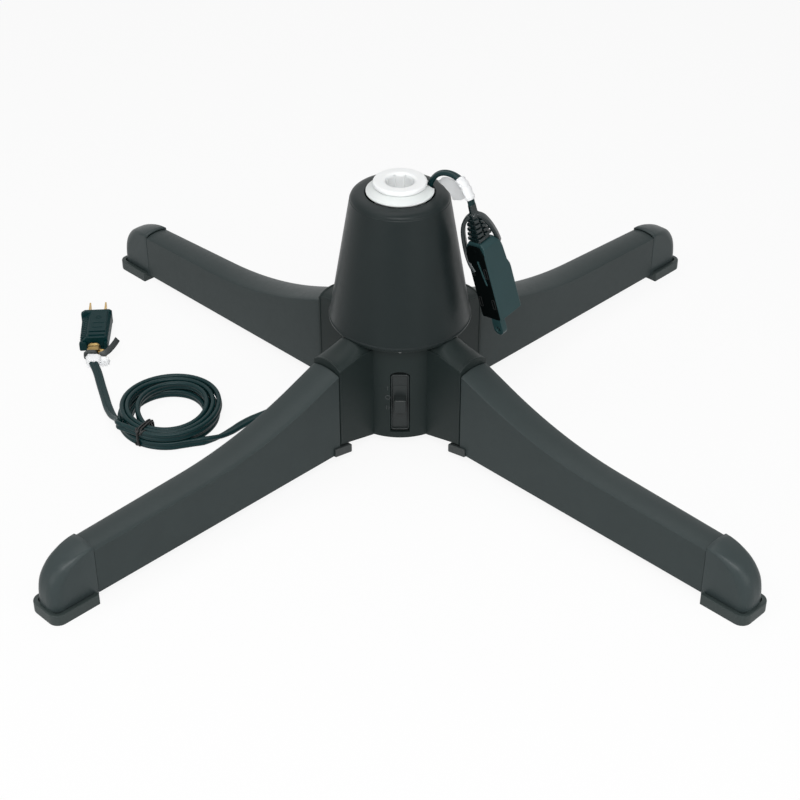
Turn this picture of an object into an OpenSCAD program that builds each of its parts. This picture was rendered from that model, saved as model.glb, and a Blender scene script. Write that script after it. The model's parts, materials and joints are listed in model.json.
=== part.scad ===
// Rotating stand for an artificial tree: a round hub on four legs, a conical tower, and a white
// sleeve that a small motor turns. The pole drops into the ribbed bore of the white ring on top,
// and an outlet on a short cord turns with the sleeve.
// Millimetres, +Z up, origin on the turning axis at floor level. Legs point at 45, 135, 225, 315.

/* [Hub] */
// Outer radius of the round drum
drum_r = 42.6; // [41.8:0.1:43.6]
// Height of the drum's lower edge above the floor
drum_low = 8.3; // [7.5:0.1:9.5]
// Wall of the drum and of its arms
drum_wall = 2.6; // [2:0.1:3]
// Height of the top of the drum's deck
deck_top = 89; // [88:0.1:90]
// Thickness of the drum's deck
deck_t = 3; // [2:0.1:4]
// Width of an arm
arm_w = 26.4; // [25:0.2:28]
// Height of an arm's side edge where it meets the drum
arm_edge = 83.2; // [81:0.1:84]
// Fall of an arm's top towards its end, in degrees
arm_fall = 6.4; // [4:0.1:8]
// Rise of an arm's underside towards its end, in degrees
arm_rise = 12.7; // [10:0.1:14]
// Distance from the turning axis to the end of an arm
joint_r = 74; // [72:0.5:76]
// Height of the crown across an arm's top
arm_crown = 8; // [5:0.1:9]

/* [Tower] */
// Radius of the tower's lip
lip_r = 52.3; // [51.5:0.1:53]
// Height of the tower's lip
lip_h = 1.4; // [1:0.1:2]
// Outer radius of the cone just above the lip
tower_r = 51.6; // [50.8:0.1:51.6]
// Lean of the cone's side, in degrees
tower_lean = 9.6; // [9:0.1:10]
// Height above the floor of the crease between cone and shoulder
crease_z = 186; // [185:0.1:187]
// Rise of the rounded shoulder from the crease to the rim
shoulder_h = 4.8; // [3.5:0.1:5]
// Inner radius of the mouth
mouth_r = 24.9; // [24.7:0.1:26]
// Wall of the tower
tower_wall = 2.4; // [2:0.1:2.8]

/* [Sleeve] */
// Outer radius of the sleeve's lower tube
tube_r = 13.4; // [13:0.1:13.8]
// Wall of the sleeve
sleeve_wall = 2.5; // [2:0.1:3]
// Outer radius of the sleeve's upper cup
cup_r = 18; // [17.8:0.1:18.4]
// Height above the floor of the cup's underside
cup_z = 158; // [156:0.5:164]
// Rise of the sleeve's rim above the rim of the tower
sleeve_rise = 5.5; // [5:0.1:5.8]
// Outer radius of the white skirt
skirt_r = 24.2; // [23.5:0.1:24.4]
// Drop of the skirt from the sleeve's rim to its lip
skirt_drop = 5.3; // [4.8:0.1:5.4]
// Thickness of the skirt
skirt_t = 1.2; // [1:0.1:1.6]
// Direction in which the outlet's cord leaves the skirt
notch_turn = 16; // [12:1:20]
// Outer radius of the white ring on top
ring_r = 19.25; // [18.8:0.05:19.8]
// Height of the white ring
ring_h = 3.5; // [3:0.1:4]
// Radius of the pole's bore
bore_r = 9.8; // [9.5:0.05:10.1]
// Number of grooves in the bore
groove_count = 8; // [6:1:10]
// Width of a groove in the bore
groove_w = 1.2; // [0.8:0.1:1.4]

/* [Bearings] */
// Diameter of a bearing ball
ball_d = 5; // [4.6:0.1:5.2]
// Number of bearing balls
ball_count = 14; // [8:1:18]
// Radius of the circle on which the balls run
ball_track = 19.6; // [19.2:0.1:20]
// Height of a race
race_h = 3.6; // [3.2:0.1:4]
// Height of the bush that steadies the sleeve
bush_h = 8; // [6:0.5:10]
// Height above the floor of the bush's bridge
bridge_z = 121; // [118:0.5:124]

/* [Drive] */
// Module of the gears: pitch diameter over number of teeth
gear_module = 0.8; // [0.78:0.01:0.81]
// Teeth of the gear on the sleeve
drive_teeth = 45; // [44:1:45]
// Teeth of the idler gear
idler_teeth = 20; // [18:1:20]
// Teeth of the motor's pinion
pinion_teeth = 14; // [13:1:14]
// Width of the gears
gear_w = 8; // [6:0.5:9]
// Height above the floor of the gearbox plate
chassis_z = 34; // [33:0.5:35]
// Thickness of the gearbox plate
chassis_t = 2.5; // [2:0.1:3]
// Radius of the motor
motor_r = 11.4; // [10:0.1:11.6]
// Height of the motor
motor_h = 21; // [18:0.5:22]

/* [Switch] */
// Width of the opening for the switch
window_w = 14.2; // [14:0.1:14.6]
// Height of the opening for the switch
window_h = 53; // [52.8:0.1:54]
// Height above the floor of the opening's lower edge
window_low = 13.5; // [13:0.1:14]
// Width of the switch's frame in its opening
bezel_w = 13.4; // [13:0.1:13.6]
// Height of the switch's frame in its opening
bezel_h = 48.6; // [46:0.2:48.8]
// Width of the slider's knob
knob_w = 8.8; // [8:0.1:9.4]
// Height of the slider's knob
knob_h = 11; // [9:0.1:12]
// How far the knob stands out of the drum
knob_out = 4.9; // [3:0.1:6]
// Travel of the slider from its middle place to either end
switch_step = 8.4; // [6:0.1:9]

/* [Legs] */
// Height of the side edge of a leg's top at the hub
leg_top = 75.8; // [74:0.1:77]
// Height of a leg's lower edge at the hub
leg_low = 9.1; // [8.6:0.1:10]
// Height of a leg's lower edge at its outer end
leg_low_out = 6.2; // [5.8:0.1:7]
// Slope of a leg's top at the hub, in degrees
leg_slope = 21; // [20:0.1:21.6]
// Slope of a leg's top at its outer end, in degrees
leg_slope_out = 1.9; // [1.5:0.1:3]
// Distance from the turning axis at which a leg's top starts to curve
bend_start = 100; // [96:1:104]
// Radius of the curve in a leg's top
bend_r = 318; // [310:1:326]
// Distance from the turning axis to the outer end of a leg
leg_end = 291.8; // [288:0.2:296]
// Width of a leg at the hub
leg_w = 26.4; // [25:0.2:28]
// Width of a leg at its outer end
leg_w_out = 21.8; // [20.8:0.2:23]
// Height of the crown across a leg's top
leg_crown = 2.1; // [1:0.1:3]
// Wall of a leg
leg_wall = 2.2; // [1.8:0.1:2.6]
// Width that a joint clip stands out on each side of the leg
clip_out = 1.4; // [1:0.1:2]
// Length of a joint clip along the leg
clip_len = 16.4; // [14:0.1:18]

/* [Feet] */
// Distance from the turning axis to the outer end of a foot pad
reach = 330; // [328:0.5:333]
// Width of a foot pad
pad_w = 29.6; // [28:0.2:31]
// Height of a foot pad
pad_h = 8.2; // [6.5:0.1:9]
// Radius of a foot pad's outer corners
pad_corner = 7.5; // [5:0.5:9]
// Ledge of the foot pad round the outer end of the cap
pad_ledge = 2.8; // [2:0.1:4]
// Radius of the cap's nose seen from the side
nose_r = 24; // [18:0.5:26]
// Wall of an end cap
cap_wall = 2.2; // [1.8:0.1:2.6]

/* [Cords] */
// Width of the flat supply cord
cord_w = 7.1; // [6.8:0.1:7.2]
// Thickness of the flat supply cord
cord_t = 3.6; // [3.2:0.1:3.8]
// Width of the outlet's cord
tap_cord_w = 5.4; // [5:0.1:5.6]
// Thickness of the outlet's cord
tap_cord_t = 3.2; // [2.8:0.1:3.4]
// Length of the strain relief on the drum
relief_len = 26; // [26:0.5:28]
// Radius of the strain relief at the drum
relief_r = 6; // [5.6:0.1:6.4]
// Loops of the supply cord's coil
coil_loops = 6; // [6:1:7]
// Step from one loop of the coil to the next
coil_step = 4.6; // [4.4:0.1:4.8]

/* [Plug and outlet] */
// Width of the plug at its face
plug_w = 25.2; // [24:0.1:26]
// Width of the plug at the cord
plug_w_back = 21.4; // [20:0.1:22]
// Length of the plug's body
plug_len = 48; // [46:0.5:49]
// Thickness of the plug
plug_t = 14; // [13:0.1:14]
// Spacing of the plug's blades
blade_gap = 12.7; // [12.5:0.1:12.9]
// Length of a blade outside the plug
blade_len = 17; // [16:0.5:18]
// Width of the outlet's broad side
tap_w = 22.3; // [21:0.1:23]
// Width of the outlet's narrow side
tap_d = 18; // [17:0.1:19]
// Length of the outlet's block
tap_len = 63; // [60:0.5:64]
// Length of the ribbed strain relief on the outlet
tap_relief = 28; // [26:0.5:30]
// Lean of the hanging outlet, in degrees
tap_lean = 14.3; // [13:0.1:15]

/* [Hidden] */
$fn = 96;
leg_names = ["front_left", "front_right", "back_right", "back_left"];
leg_turns = [225, 315, 45, 135];

dark = [0.16, 0.18, 0.18];
cord_green = [0.05, 0.18, 0.16];
tap_green = [0.22, 0.34, 0.33];
milk = [0.9, 0.91, 0.9];
steel = [0.66, 0.67, 0.69];
brass = [0.78, 0.62, 0.28];

// Clearances
run_gap = 0.05;      // round running fits
fit_gap = 0.2;       // pieces put together by hand
air_gap = 0.3;       // pieces that must not rub
eps = 0.01;          // overlap of a cut past a face
past = 1;            // how far a cut runs past the face it opens
far = 400;           // longer than any piece, for cuts that go right through

// Screws: radius and height of the head, radius of the shank
plate_screw = [2.8, 1.5, 1.15];
cover_screw = [2.6, 1.6, 1.15];
deck_screw = [2.6, 1.4, 1.5];
motor_screw = [1.9, 1, 1];
clip_screw = [2.8, 1.6, 1.5];
function bite(screw) = screw[2] + run_gap;
function pass(screw) = screw[2] + fit_gap;

// Hub
drum_in = drum_r - drum_wall;
drum_mid = (drum_in + drum_r) / 2;
arm_root = drum_r / 2;
arm_boss_r = 3.4;
arm_boss_top = arm_edge - 1.2;
deck_low = deck_top - deck_t;
flange_low = deck_top - 0.4;
flange_top = deck_top + 2;
flange_r = lip_r - 1.6;
flange_in = drum_in - 2;
locate_in = flange_r - 6;
locate_out = tower_r - tower_wall - 1.6;
locate_top = flange_top + 5;
shaft_hole_r = gear_module * (drive_teeth / 2 + 1) + 0.7;
quarter_turns = [0, 90, 180, 270];
boss_turns = [30, 160, 212, 328];
boss_ring_r = drum_in - 4;
boss_r = 4.5;
boss_neck_r = 3.2;
plate_t = 2;
plate_low = drum_low + 0.6;
plate_top = plate_low + plate_t;
plate_screw_len = 12;
spigot_len = 22;
spigot_low = drum_low + tan(arm_rise) * (joint_r - drum_in) + 0.4;
spigot_high = leg_top - 18;

// Tower
tower_low = flange_top;
cone_low = tower_low + lip_h;
crease_r = tower_r - tan(tower_lean) * (crease_z - cone_low);
rim_z = crease_z + shoulder_h;
screw_ring_r = flange_r - 5;
cover_boss_r = 3.4;
cover_boss_h = 12;
rim_edge = 0.3;

// Sleeve, from the gearbox plate upwards
sleeve_top = rim_z + sleeve_rise;
chassis_top = chassis_z + chassis_t;
sleeve_low = chassis_top + 0.8;
pivot_r = 5;
floor_t = 4;
tube_in = bore_r + 0.4;
cup_in = cup_r - sleeve_wall;
notch_w = 9.4;
notch_drop = 10;
deck_plate_t = 2;
deck_plate_r = 34;
deck_screw_ring_r = 30;
deck_screw_turns = [60, 180, 300];
race_low = deck_top + deck_plate_t;
race_gap = 2.8;
ball_z = race_low + race_h + race_gap / 2;
upper_low = race_low + race_h + race_gap;
shoulder_z = upper_low + race_h;
shoulder_t = 2.5;
race_r = ball_track + 5;
bridge_t = 3;
bridge_r = 32;
bridge_top = bridge_z + bridge_t;
post_r = 3;
post_ring_r = bridge_r - post_r;
bush_r = tube_r + 3.6;
bush_low = bridge_top - bush_h;
bush_flange_t = 2;
bush_flange_r = bush_r + 2.5;
carrier_low = bridge_top + bush_flange_t + 4;
carrier_h = 22;
carrier_r = 20;
carrier_top = carrier_low + carrier_h;
contact_ring_t = 1.2;
contact_ring_h = 3;
contact_ring_z = [carrier_low + 3.5, carrier_low + 13.5];
brush_turn = 200;
holder_r = 26;
holder_t = 6;
holder_w = 14;
brush_w = 6;
brush_slack = 0.3;
cord_ride_r = (cup_r + mouth_r) / 2;

// Gears; the tip and the root are in modules, the slack is off each flank
pressure_angle = 20;
tooth_tip = 0.92;
tooth_root = 1.2;
tooth_slack = 0.045;
gear_low = chassis_top + 1.5;
gear_top = gear_low + gear_w;
idler_dist = gear_module * (drive_teeth + idler_teeth) / 2;
pinion_dist = gear_module * (idler_teeth + pinion_teeth) / 2;
idler_turn = 75;
pinion_turn = idler_turn + 98.5;
idler_pos = idler_dist * [cos(idler_turn), sin(idler_turn)];
pinion_pos = idler_pos + pinion_dist * [cos(pinion_turn), sin(pinion_turn)];
idler_pitch = 360 / idler_teeth;
idler_phase = idler_turn + 180 + idler_pitch / 2;
idler_miss = (idler_phase - pinion_turn) - idler_pitch * floor((idler_phase - pinion_turn) / idler_pitch);
pinion_phase = pinion_turn + 180 - idler_miss * idler_teeth / pinion_teeth + 180 / pinion_teeth;
pin_r = 2;
motor_shaft_r = 1.5;
motor_screw_ring_r = 8.6;
motor_screw_turns = [20, 200];
motor_bite = 4;

// Switch
window_arch_r = 10;
bezel_low = window_low + 1.5;
bezel_mid = bezel_low + bezel_h / 2;
bezel_front = -(drum_r - 1);
bezel_rim = 1.1;
switch_face = -(drum_in - 1.3);
switch_plate_t = 2;
switch_back = switch_face + 9;
switch_lap = 1.6;
keeper_room = 4;
stem_w = 5.6;
stem_h = 6;
keeper_w = 10;
keeper_h = 14;
keeper_t = 2;

// Legs
function leg_frac(r) = (r - joint_r) / (leg_end - joint_r);
function leg_half(r) = (leg_w + (leg_w_out - leg_w) * leg_frac(r)) / 2;
function leg_floor(r) = leg_low + (leg_low_out - leg_low) * leg_frac(r);
bend_end = bend_start + bend_r * (sin(leg_slope) - sin(leg_slope_out));
bend_high = leg_top - tan(leg_slope) * (bend_start - joint_r);
bend_low = bend_high - bend_r * (cos(leg_slope_out) - cos(leg_slope));
function bend_angle(r) = asin(sin(leg_slope) - (r - bend_start) / bend_r);
function leg_edge(r) =
    r < bend_start ? leg_top - tan(leg_slope) * (r - joint_r)
    : r > bend_end ? bend_low - tan(leg_slope_out) * (r - bend_end)
    : bend_high - bend_r * (cos(bend_angle(r)) - cos(leg_slope));
leg_start = joint_r + 0.5;
leg_stations = concat([leg_start, (leg_start + bend_start) / 2],
    [for (i = [0 : 8]) bend_start + (bend_end - bend_start) * i / 8],
    [(bend_end + leg_end) / 2, leg_end]);
crown_steps = 8;

// Feet
cap_start = leg_end + 0.4;
cap_end = reach - pad_ledge;
cap_low = leg_low_out - 1.4;
cap_high = leg_edge(leg_end) + leg_crown;
cap_fall = 4;
cap_corner = 7;
cap_edge_r = 6;
cap_sweep = 86;
pad_start = leg_end + 2.7;
pad_pocket = cap_low - air_gap;
clip_start = joint_r - 9.6;
clip_low = 5.5;
clip_high = 12.5;
clip_tilt = 10.2;
clip_screw_r = joint_r - drum_wall - 2.4;
clip_screw_seat = clip_low + 4.4;
clip_slack = 0.1;
clip_screw_len = 18;

// Supply cord: its points are chosen by hand along the floor
relief_z = 18;
relief_end = [-(drum_r + relief_len), 0, relief_z];
relief_end_r = 4.4;
relief_neck = 2;
relief_flange_t = 2.5;
relief_flange_x = -drum_in + 1.2;
lead_points = [[-84, 0, 14.6], [-92, -0.8, 8], [-99, -2.5, 4], [-106, -5.5, 2.4],
    [-113, -10.5, 2.2], [-120, -17.5, 2.2], [-127, -26, 2.4], [-134.5, -33.2, 2.8]];
lead_rolls = [0, 0, 0, 0, 0, 0, 0, 0, 10, 35, 90, 90];
tail_points = [[-212, -21.5, 8.6], [-217.5, -10, 5], [-223, 4, 3], [-228, 20, 2.4],
    [-233, 36, 2.4], [-238, 52, 3.6]];
tail_rolls = [90, 90, 60, 25, 0, 0, 0, 0, 0, 0, 0];
tap_rise = [[20.4, 6.5, -31.3], [20.4, 6.5, -18.3], [20.6, 6.4, -6.8],
    [22.6, 5.2, 0.7], [26.5, 2.4, 6.7], [31.5, -2.2, 10.2], [37.5, -8.5, 11.3],
    [43, -14.6, 9.3], [46.4, -18.2, 4.5]];
tap_points = concat([[tap_rise[0][0], tap_rise[0][1], carrier_top]],
    [for (p = tap_rise) p + [0, 0, sleeve_top]]);
tap_sides = [108, 108, 108, 106, 90, 70, 55, 45, 45, 45, 45, 45];

// Coil: an oval of loops on edge, wound inwards below and outwards above
coil_mid = [-176, -5.5];
coil_half = [35.2, 41.7];
coil_first = -68;
coil_extra = 0.16;
coil_low_z = cord_w / 2;
coil_climb = cord_w + 0.5;

// Plug, lying on the floor with its blades away from the coil
plug_pos = [-245.6, 83, 0];
plug_turn = 4.3;
blade_w = 6.3;
blade_t = 1.5;
blade_hidden = 8;

// Outlet, hanging from its cord beside the tower
tap_corner = [72.3, -33, 103.6];
tap_turn = 45;
tap_chamfer = 10;
slot_t = 1.6;
slot_w = 6.4;
slot_depth = 11;
slot_slack = 0.15;
slot_places = [0.22, 0.55];
boot_w_less = 5;
boot_wall = 1.5;
boot_ribs = 6;
tongue_hole_r = 1.5;
tongue_w = 9;
tongue_len = 13;
tongue_t = 5;

// Small helpers
function unit(v) = v / norm(v);
function heading(p, i) =
    unit(p[min(i + 1, len(p) - 1)] - p[max(i - 1, 0)]);
function square_to(v, t) = unit(v - (v * t) * t);
function flat_side(t, roll) =
    let (side = unit(cross(t, [0, 0, 1])), up = cross(side, t))
    side * cos(roll) + up * sin(roll);

// Rings of a flat tube: at each point, its width runs along the given direction
function tube_rings(p, wide, w, t, sides) = [
    for (i = [0 : len(p) - 1])
        let (along = heading(p, i), a = square_to(wide[i], along), b = cross(along, a))
        for (k = [0 : sides - 1])
            let (turn = (k + 0.5) * 360 / sides)
            p[i] + a * (w / 2 * cos(turn) / cos(180 / sides))
                + b * (t / 2 * sin(turn) / (sides % 4 == 0 ? cos(180 / sides) : 1))];

// One closed tube over rings of points
module ring_tube(points, sides) {
    n = len(points) / sides;
    side_faces = [for (i = [0 : n - 2]) for (k = [0 : sides - 1])
        let (a = i * sides + k, b = i * sides + (k + 1) % sides, c = b + sides, d = a + sides)
        each [[a, c, b], [a, d, c]]];
    start_face = [for (k = [1 : sides - 2]) [0, k, k + 1]];
    end_face = [for (k = [1 : sides - 2])
        [(n - 1) * sides, (n - 1) * sides + k + 1, (n - 1) * sides + k]];
    polyhedron(points, concat(side_faces, start_face, end_face), convexity = 10);
}

module at_turns(turns) {
    for (turn = turns) rotate([0, 0, turn]) children();
}

// Side view, drawn as distance from the axis against height, given a thickness across the leg
module side_slab(half, points) {
    rotate([90, 0, 0]) linear_extrude(2 * half, center = true) polygon(points);
}

module ring(inner, outer, low, high) {
    translate([0, 0, low]) linear_extrude(high - low) difference() {
        circle(outer);
        circle(inner);
    }
}

// ---------- Hub ----------
module arm_block(inset, end) {
    half = arm_w / 2 - inset;
    low = drum_low - inset;
    end_low = low + tan(arm_rise) * (end - drum_in);
    edge = (arm_edge + drum_r * tan(arm_fall)) * cos(arm_fall) - inset;
    crown_r = (half * half + arm_crown * arm_crown) / (2 * arm_crown);
    out = end + 2;
    intersection() {
        side_slab(half, [[arm_root, low], [drum_in, low], [end, end_low], [end, far], [arm_root, far]]);
        rotate([0, arm_fall, 0]) translate([0, 0, edge + arm_crown - crown_r])
            rotate([0, 90, 0]) linear_extrude(far) union() {
                circle(crown_r);
                translate([0, -half]) square([far, 2 * half]);
            }
        rotate_extrude() polygon(concat([[0, 0], [out, 0]],
            [for (i = [0 : 6])
                let (f = i / 6)
                [out - (out - flange_r) * f, arm_edge - inset + (flange_top - arm_edge) * f * f]],
            [[0, flange_top - inset]]));
    }
}

module base_housing() {
    arm_boss_low = clip_screw_seat + 8;
    color(dark) difference() {
        union() {
            ring(drum_in, drum_r, drum_low, deck_top);
            ring(shaft_hole_r, drum_r, deck_low, deck_top);
            ring(flange_in, flange_r, flange_low, flange_top);
            ring(locate_in, locate_out, flange_top - eps, locate_top);
            at_turns(leg_turns) difference() {
                arm_block(0, joint_r);
                arm_block(drum_wall, joint_r - drum_wall);
                cylinder(r = drum_mid, h = far);
            }
            at_turns(leg_turns) arm_spigot();
            at_turns(leg_turns) translate([clip_screw_r, 0, arm_boss_low])
                cylinder(r = arm_boss_r, h = arm_boss_top - arm_boss_low);
            at_turns(boss_turns) translate([boss_ring_r, 0, 0]) {
                translate([0, 0, chassis_top]) cylinder(r = boss_r, h = deck_low - chassis_top + eps);
                translate([0, 0, plate_top]) cylinder(r = boss_neck_r, h = deck_low - plate_top);
            }
        }
        switch_window();
        translate([-drum_r - past, 0, relief_z]) rotate([0, 90, 0])
            cylinder(r = relief_r - relief_neck + fit_gap, h = drum_wall + 2 * past);
        at_turns(boss_turns) translate([boss_ring_r, 0, plate_low])
            cylinder(r = bite(plate_screw), h = plate_screw_len + 2);
        at_turns(quarter_turns) translate([screw_ring_r, 0, deck_low - past])
            cylinder(r = pass(cover_screw), h = locate_top - deck_low + 2 * past);
        at_turns(leg_turns) translate([clip_screw_r, 0, clip_screw_seat])
            cylinder(r = bite(clip_screw), h = clip_screw_len + 2);
    }
}

module arm_spigot() {
    half = leg_half(joint_r + spigot_len) - leg_wall - fit_gap;
    difference() {
        translate([joint_r - drum_wall, -half, spigot_low])
            cube([spigot_len + drum_wall, 2 * half, spigot_high - spigot_low]);
        translate([joint_r, -half + drum_wall, spigot_low - past])
            cube([spigot_len + past, 2 * (half - drum_wall), spigot_high - spigot_low + past - drum_wall]);
    }
}

module switch_window() {
    top = window_low + window_h;
    translate([0, -drum_in + keeper_room, 0]) rotate([90, 0, 0]) linear_extrude(3 * keeper_room)
        intersection() {
            translate([-window_w / 2, window_low]) square([window_w, window_h]);
            translate([0, top - window_arch_r]) union() {
                circle(window_arch_r);
                translate([-window_w, -window_h]) square([2 * window_w, window_h]);
            }
        }
}

module base_plate() {
    vent_w = 2.4;
    vent_len = 28;
    color(dark) difference() {
        translate([0, 0, plate_low]) cylinder(r = drum_in - fit_gap, h = plate_t);
        at_turns(boss_turns) translate([boss_ring_r, 0, 0])
            cylinder(r = pass(plate_screw), h = plate_top + past);
        for (i = [-2 : 2]) translate([2.5 * vent_w * i - vent_w / 2, -vent_len / 2, 0])
            cube([vent_w, vent_len, plate_top + past]);
    }
}

module screw(size, shank_len) {
    cylinder(r = size[0], h = size[1]);
    translate([0, 0, size[1] - eps]) cylinder(r = size[2], h = shank_len);
}

module base_screws() {
    color(steel) at_turns(boss_turns) translate([boss_ring_r, 0, plate_low - plate_screw[1]])
        screw(plate_screw, plate_screw_len);
}

// ---------- Tower ----------
module tower_cover() {
    bead = 0.7;
    span = crease_r - mouth_r - bead;
    rise = [for (i = [0 : 10])
        let (a = i * 9)
        [mouth_r + bead + span * cos(a), crease_z + shoulder_h * sin(a)]];
    inside = [[mouth_r, rim_z - rim_edge], [mouth_r, rim_z - tower_wall],
        [mouth_r + 3, rim_z - tower_wall - 2 * rim_edge], [crease_r - tower_wall, crease_z - 1]];
    color(dark) union() {
        rotate_extrude() polygon(concat(
            [[tower_r - tower_wall, tower_low], [lip_r, tower_low], [lip_r, cone_low - rim_edge],
                [lip_r - rim_edge, cone_low], [tower_r, cone_low]],
            rise, inside));
        at_turns(quarter_turns) translate([screw_ring_r, 0, locate_top + fit_gap]) cover_boss();
    }
}

module cover_boss() {
    rib_t = 3;
    difference() {
        union() {
            cylinder(r = cover_boss_r, h = cover_boss_h);
            translate([0, -rib_t / 2, 0]) cube([1.5 * rib_t, rib_t, cover_boss_h]);
        }
        translate([0, 0, -past]) cylinder(r = bite(cover_screw), h = cover_boss_h);
    }
}

module tower_screws() {
    color(steel) at_turns(quarter_turns) translate([screw_ring_r, 0, flange_low - cover_screw[1]])
        screw(cover_screw, cover_boss_h + 2);
}

// ---------- Bearings ----------
module bearing_deck() {
    color(steel) difference() {
        ring(tube_r + 1, deck_plate_r, deck_top, race_low);
        at_turns(deck_screw_turns) translate([deck_screw_ring_r, 0, deck_top - past])
            cylinder(r = bite(deck_screw), h = deck_plate_t + 2 * past);
    }
}

module deck_screws() {
    color(steel) at_turns(deck_screw_turns) translate([deck_screw_ring_r, 0, race_low + deck_screw[1]])
        mirror([0, 0, 1]) screw(deck_screw, deck_plate_t - fit_gap);
}

module race_groove() {
    translate([0, 0, ball_z]) rotate_extrude() translate([ball_track, 0])
        circle(ball_d / 2 + 0.1);
}

module lower_race() {
    color(steel) difference() {
        ring(tube_r + 1.2, race_r, race_low, race_low + race_h);
        race_groove();
    }
}

module upper_race() {
    color(steel) difference() {
        ring(tube_r + run_gap, race_r, upper_low, upper_low + race_h);
        race_groove();
    }
}

module bearing_balls() {
    color(steel) for (i = [0 : ball_count - 1]) rotate([0, 0, i * 360 / ball_count])
        translate([ball_track, 0, ball_z]) sphere(d = ball_d, $fn = 32);
}

module bush_bridge() {
    color(dark) difference() {
        union() {
            ring(bush_r + run_gap, bridge_r, bridge_z, bridge_top);
            ring(bush_r + run_gap, bush_r + bridge_t, bush_low, bridge_top);
            at_turns([0, 120, 240]) translate([post_ring_r, 0, race_low])
                cylinder(r = post_r, h = bridge_z - race_low + eps);
        }
        at_turns([brush_turn - 11, brush_turn + 11]) translate([post_ring_r, 0, bridge_z - past])
            cylinder(r = bite(cover_screw), h = bridge_t + 2 * past);
    }
}

module top_bush() {
    flange_high = bridge_top + bush_flange_t;
    color(milk) union() {
        ring(tube_r + run_gap, bush_r, bush_low, flange_high);
        ring(bush_r - eps, bush_flange_r, bridge_top, flange_high);
    }
}

// ---------- Sleeve ----------
module turning_sleeve() {
    color(milk) difference() {
        union() {
            translate([0, 0, chassis_z + 2 * fit_gap]) cylinder(r = pivot_r, h = sleeve_low - chassis_z);
            translate([0, 0, sleeve_low]) cylinder(r = tube_r, h = cup_z + past - sleeve_low);
            translate([0, 0, shoulder_z]) cylinder(r = race_r - 3, h = shoulder_t);
            translate([0, 0, cup_z]) cylinder(r = cup_r, h = sleeve_top - cup_z);
            skirt();
        }
        translate([0, 0, sleeve_low + floor_t]) cylinder(r = tube_in, h = far);
        translate([0, 0, cup_z + sleeve_wall]) cylinder(r = cup_in, h = far);
        rotate([0, 0, notch_turn])
            translate([cup_r + run_gap, -notch_w / 2, sleeve_top - notch_drop])
            cube([skirt_r, notch_w, 2 * notch_drop]);
    }
}

module skirt() {
    lip_z = sleeve_top - skirt_drop;
    rotate_extrude() polygon([[cup_r - 1, sleeve_top - 0.3], [cup_r + 0.6, sleeve_top - 0.6],
        [skirt_r - 1.2, lip_z + skirt_t + 0.4], [skirt_r, lip_z + skirt_t],
        [skirt_r, lip_z], [skirt_r - 1.4, lip_z + 0.2], [cup_r - 1, sleeve_top - 2.6]]);
}

module pole_adapter() {
    edge = 1.5;
    heel_r = 0.8;
    lead_in = 1.2;
    top = sleeve_top + ring_h;
    low = cup_z + sleeve_wall + air_gap;
    groove_depth = 0.9;
    corner = [for (i = [0 : 6]) let (a = i * 15)
        [ring_r - edge + edge * cos(a), top - edge + edge * sin(a)]];
    heel = [for (i = [0 : 6]) let (a = i * 15)
        [ring_r - heel_r + heel_r * sin(a), sleeve_top + heel_r - heel_r * cos(a)]];
    color(milk) difference() {
        union() {
            translate([0, 0, low]) cylinder(r = cup_in - run_gap, h = sleeve_top - low + air_gap);
            rotate_extrude() polygon(concat([[0, sleeve_top]], heel, corner, [[0, top]]));
        }
        translate([0, 0, low - past]) cylinder(r = bore_r, h = far);
        translate([0, 0, top - lead_in]) cylinder(r1 = bore_r, r2 = bore_r + lead_in, h = lead_in + eps);
        for (i = [0 : groove_count - 1]) rotate([0, 0, (i + 0.5) * 360 / groove_count])
            translate([bore_r - past, -groove_w / 2, low - past])
            cube([groove_depth + past, groove_w, far]);
    }
}

// ---------- Gears ----------
function tooth_turn(r, base) = r <= base ? 0 : tan(acos(base / r)) * 180 / PI - acos(base / r);
function gear_points(teeth) =
    let (pitch = gear_module * teeth / 2, base = pitch * cos(pressure_angle),
        tip = pitch + tooth_tip * gear_module, root = pitch - tooth_root * gear_module,
        half = 90 / teeth - tooth_slack / pitch * 180 / PI + tooth_turn(pitch, base),
        low = max(base, root))
    [for (i = [0 : teeth - 1])
        let (mid = i * 360 / teeth,
            flank = [for (k = [0 : 4]) let (r = low + (tip - low) * k / 4)
                [r, half - tooth_turn(r, base)]],
            left = concat([[root, half]], flank))
        each concat(
            [for (p = left) p[0] * [cos(mid - p[1]), sin(mid - p[1])]],
            [for (k = [len(left) - 1 : -1 : 0]) let (p = left[k])
                p[0] * [cos(mid + p[1]), sin(mid + p[1])]])];

module gear(teeth) {
    linear_extrude(gear_w) polygon(gear_points(teeth));
}

module drive_gear() {
    color(milk) difference() {
        translate([0, 0, gear_low]) rotate([0, 0, idler_turn]) gear(drive_teeth);
        translate([0, 0, gear_low - past]) cylinder(r = tube_r + run_gap, h = gear_w + 2 * past);
    }
}

module idler_gear() {
    color(milk) translate([idler_pos[0], idler_pos[1], 0]) difference() {
        union() {
            translate([0, 0, gear_low]) rotate([0, 0, idler_phase]) gear(idler_teeth);
            translate([0, 0, chassis_top + air_gap]) cylinder(r = 2 * pin_r, h = gear_low - chassis_top);
        }
        translate([0, 0, chassis_top]) cylinder(r = pin_r + run_gap, h = far);
    }
}

module idler_pin() {
    color(steel) translate([idler_pos[0], idler_pos[1], 0]) union() {
        translate([0, 0, chassis_z]) cylinder(r = pin_r, h = gear_top - chassis_z + 1);
        translate([0, 0, gear_top + air_gap + fit_gap]) cylinder(r = 1.6 * pin_r, h = 1);
    }
}

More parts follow.
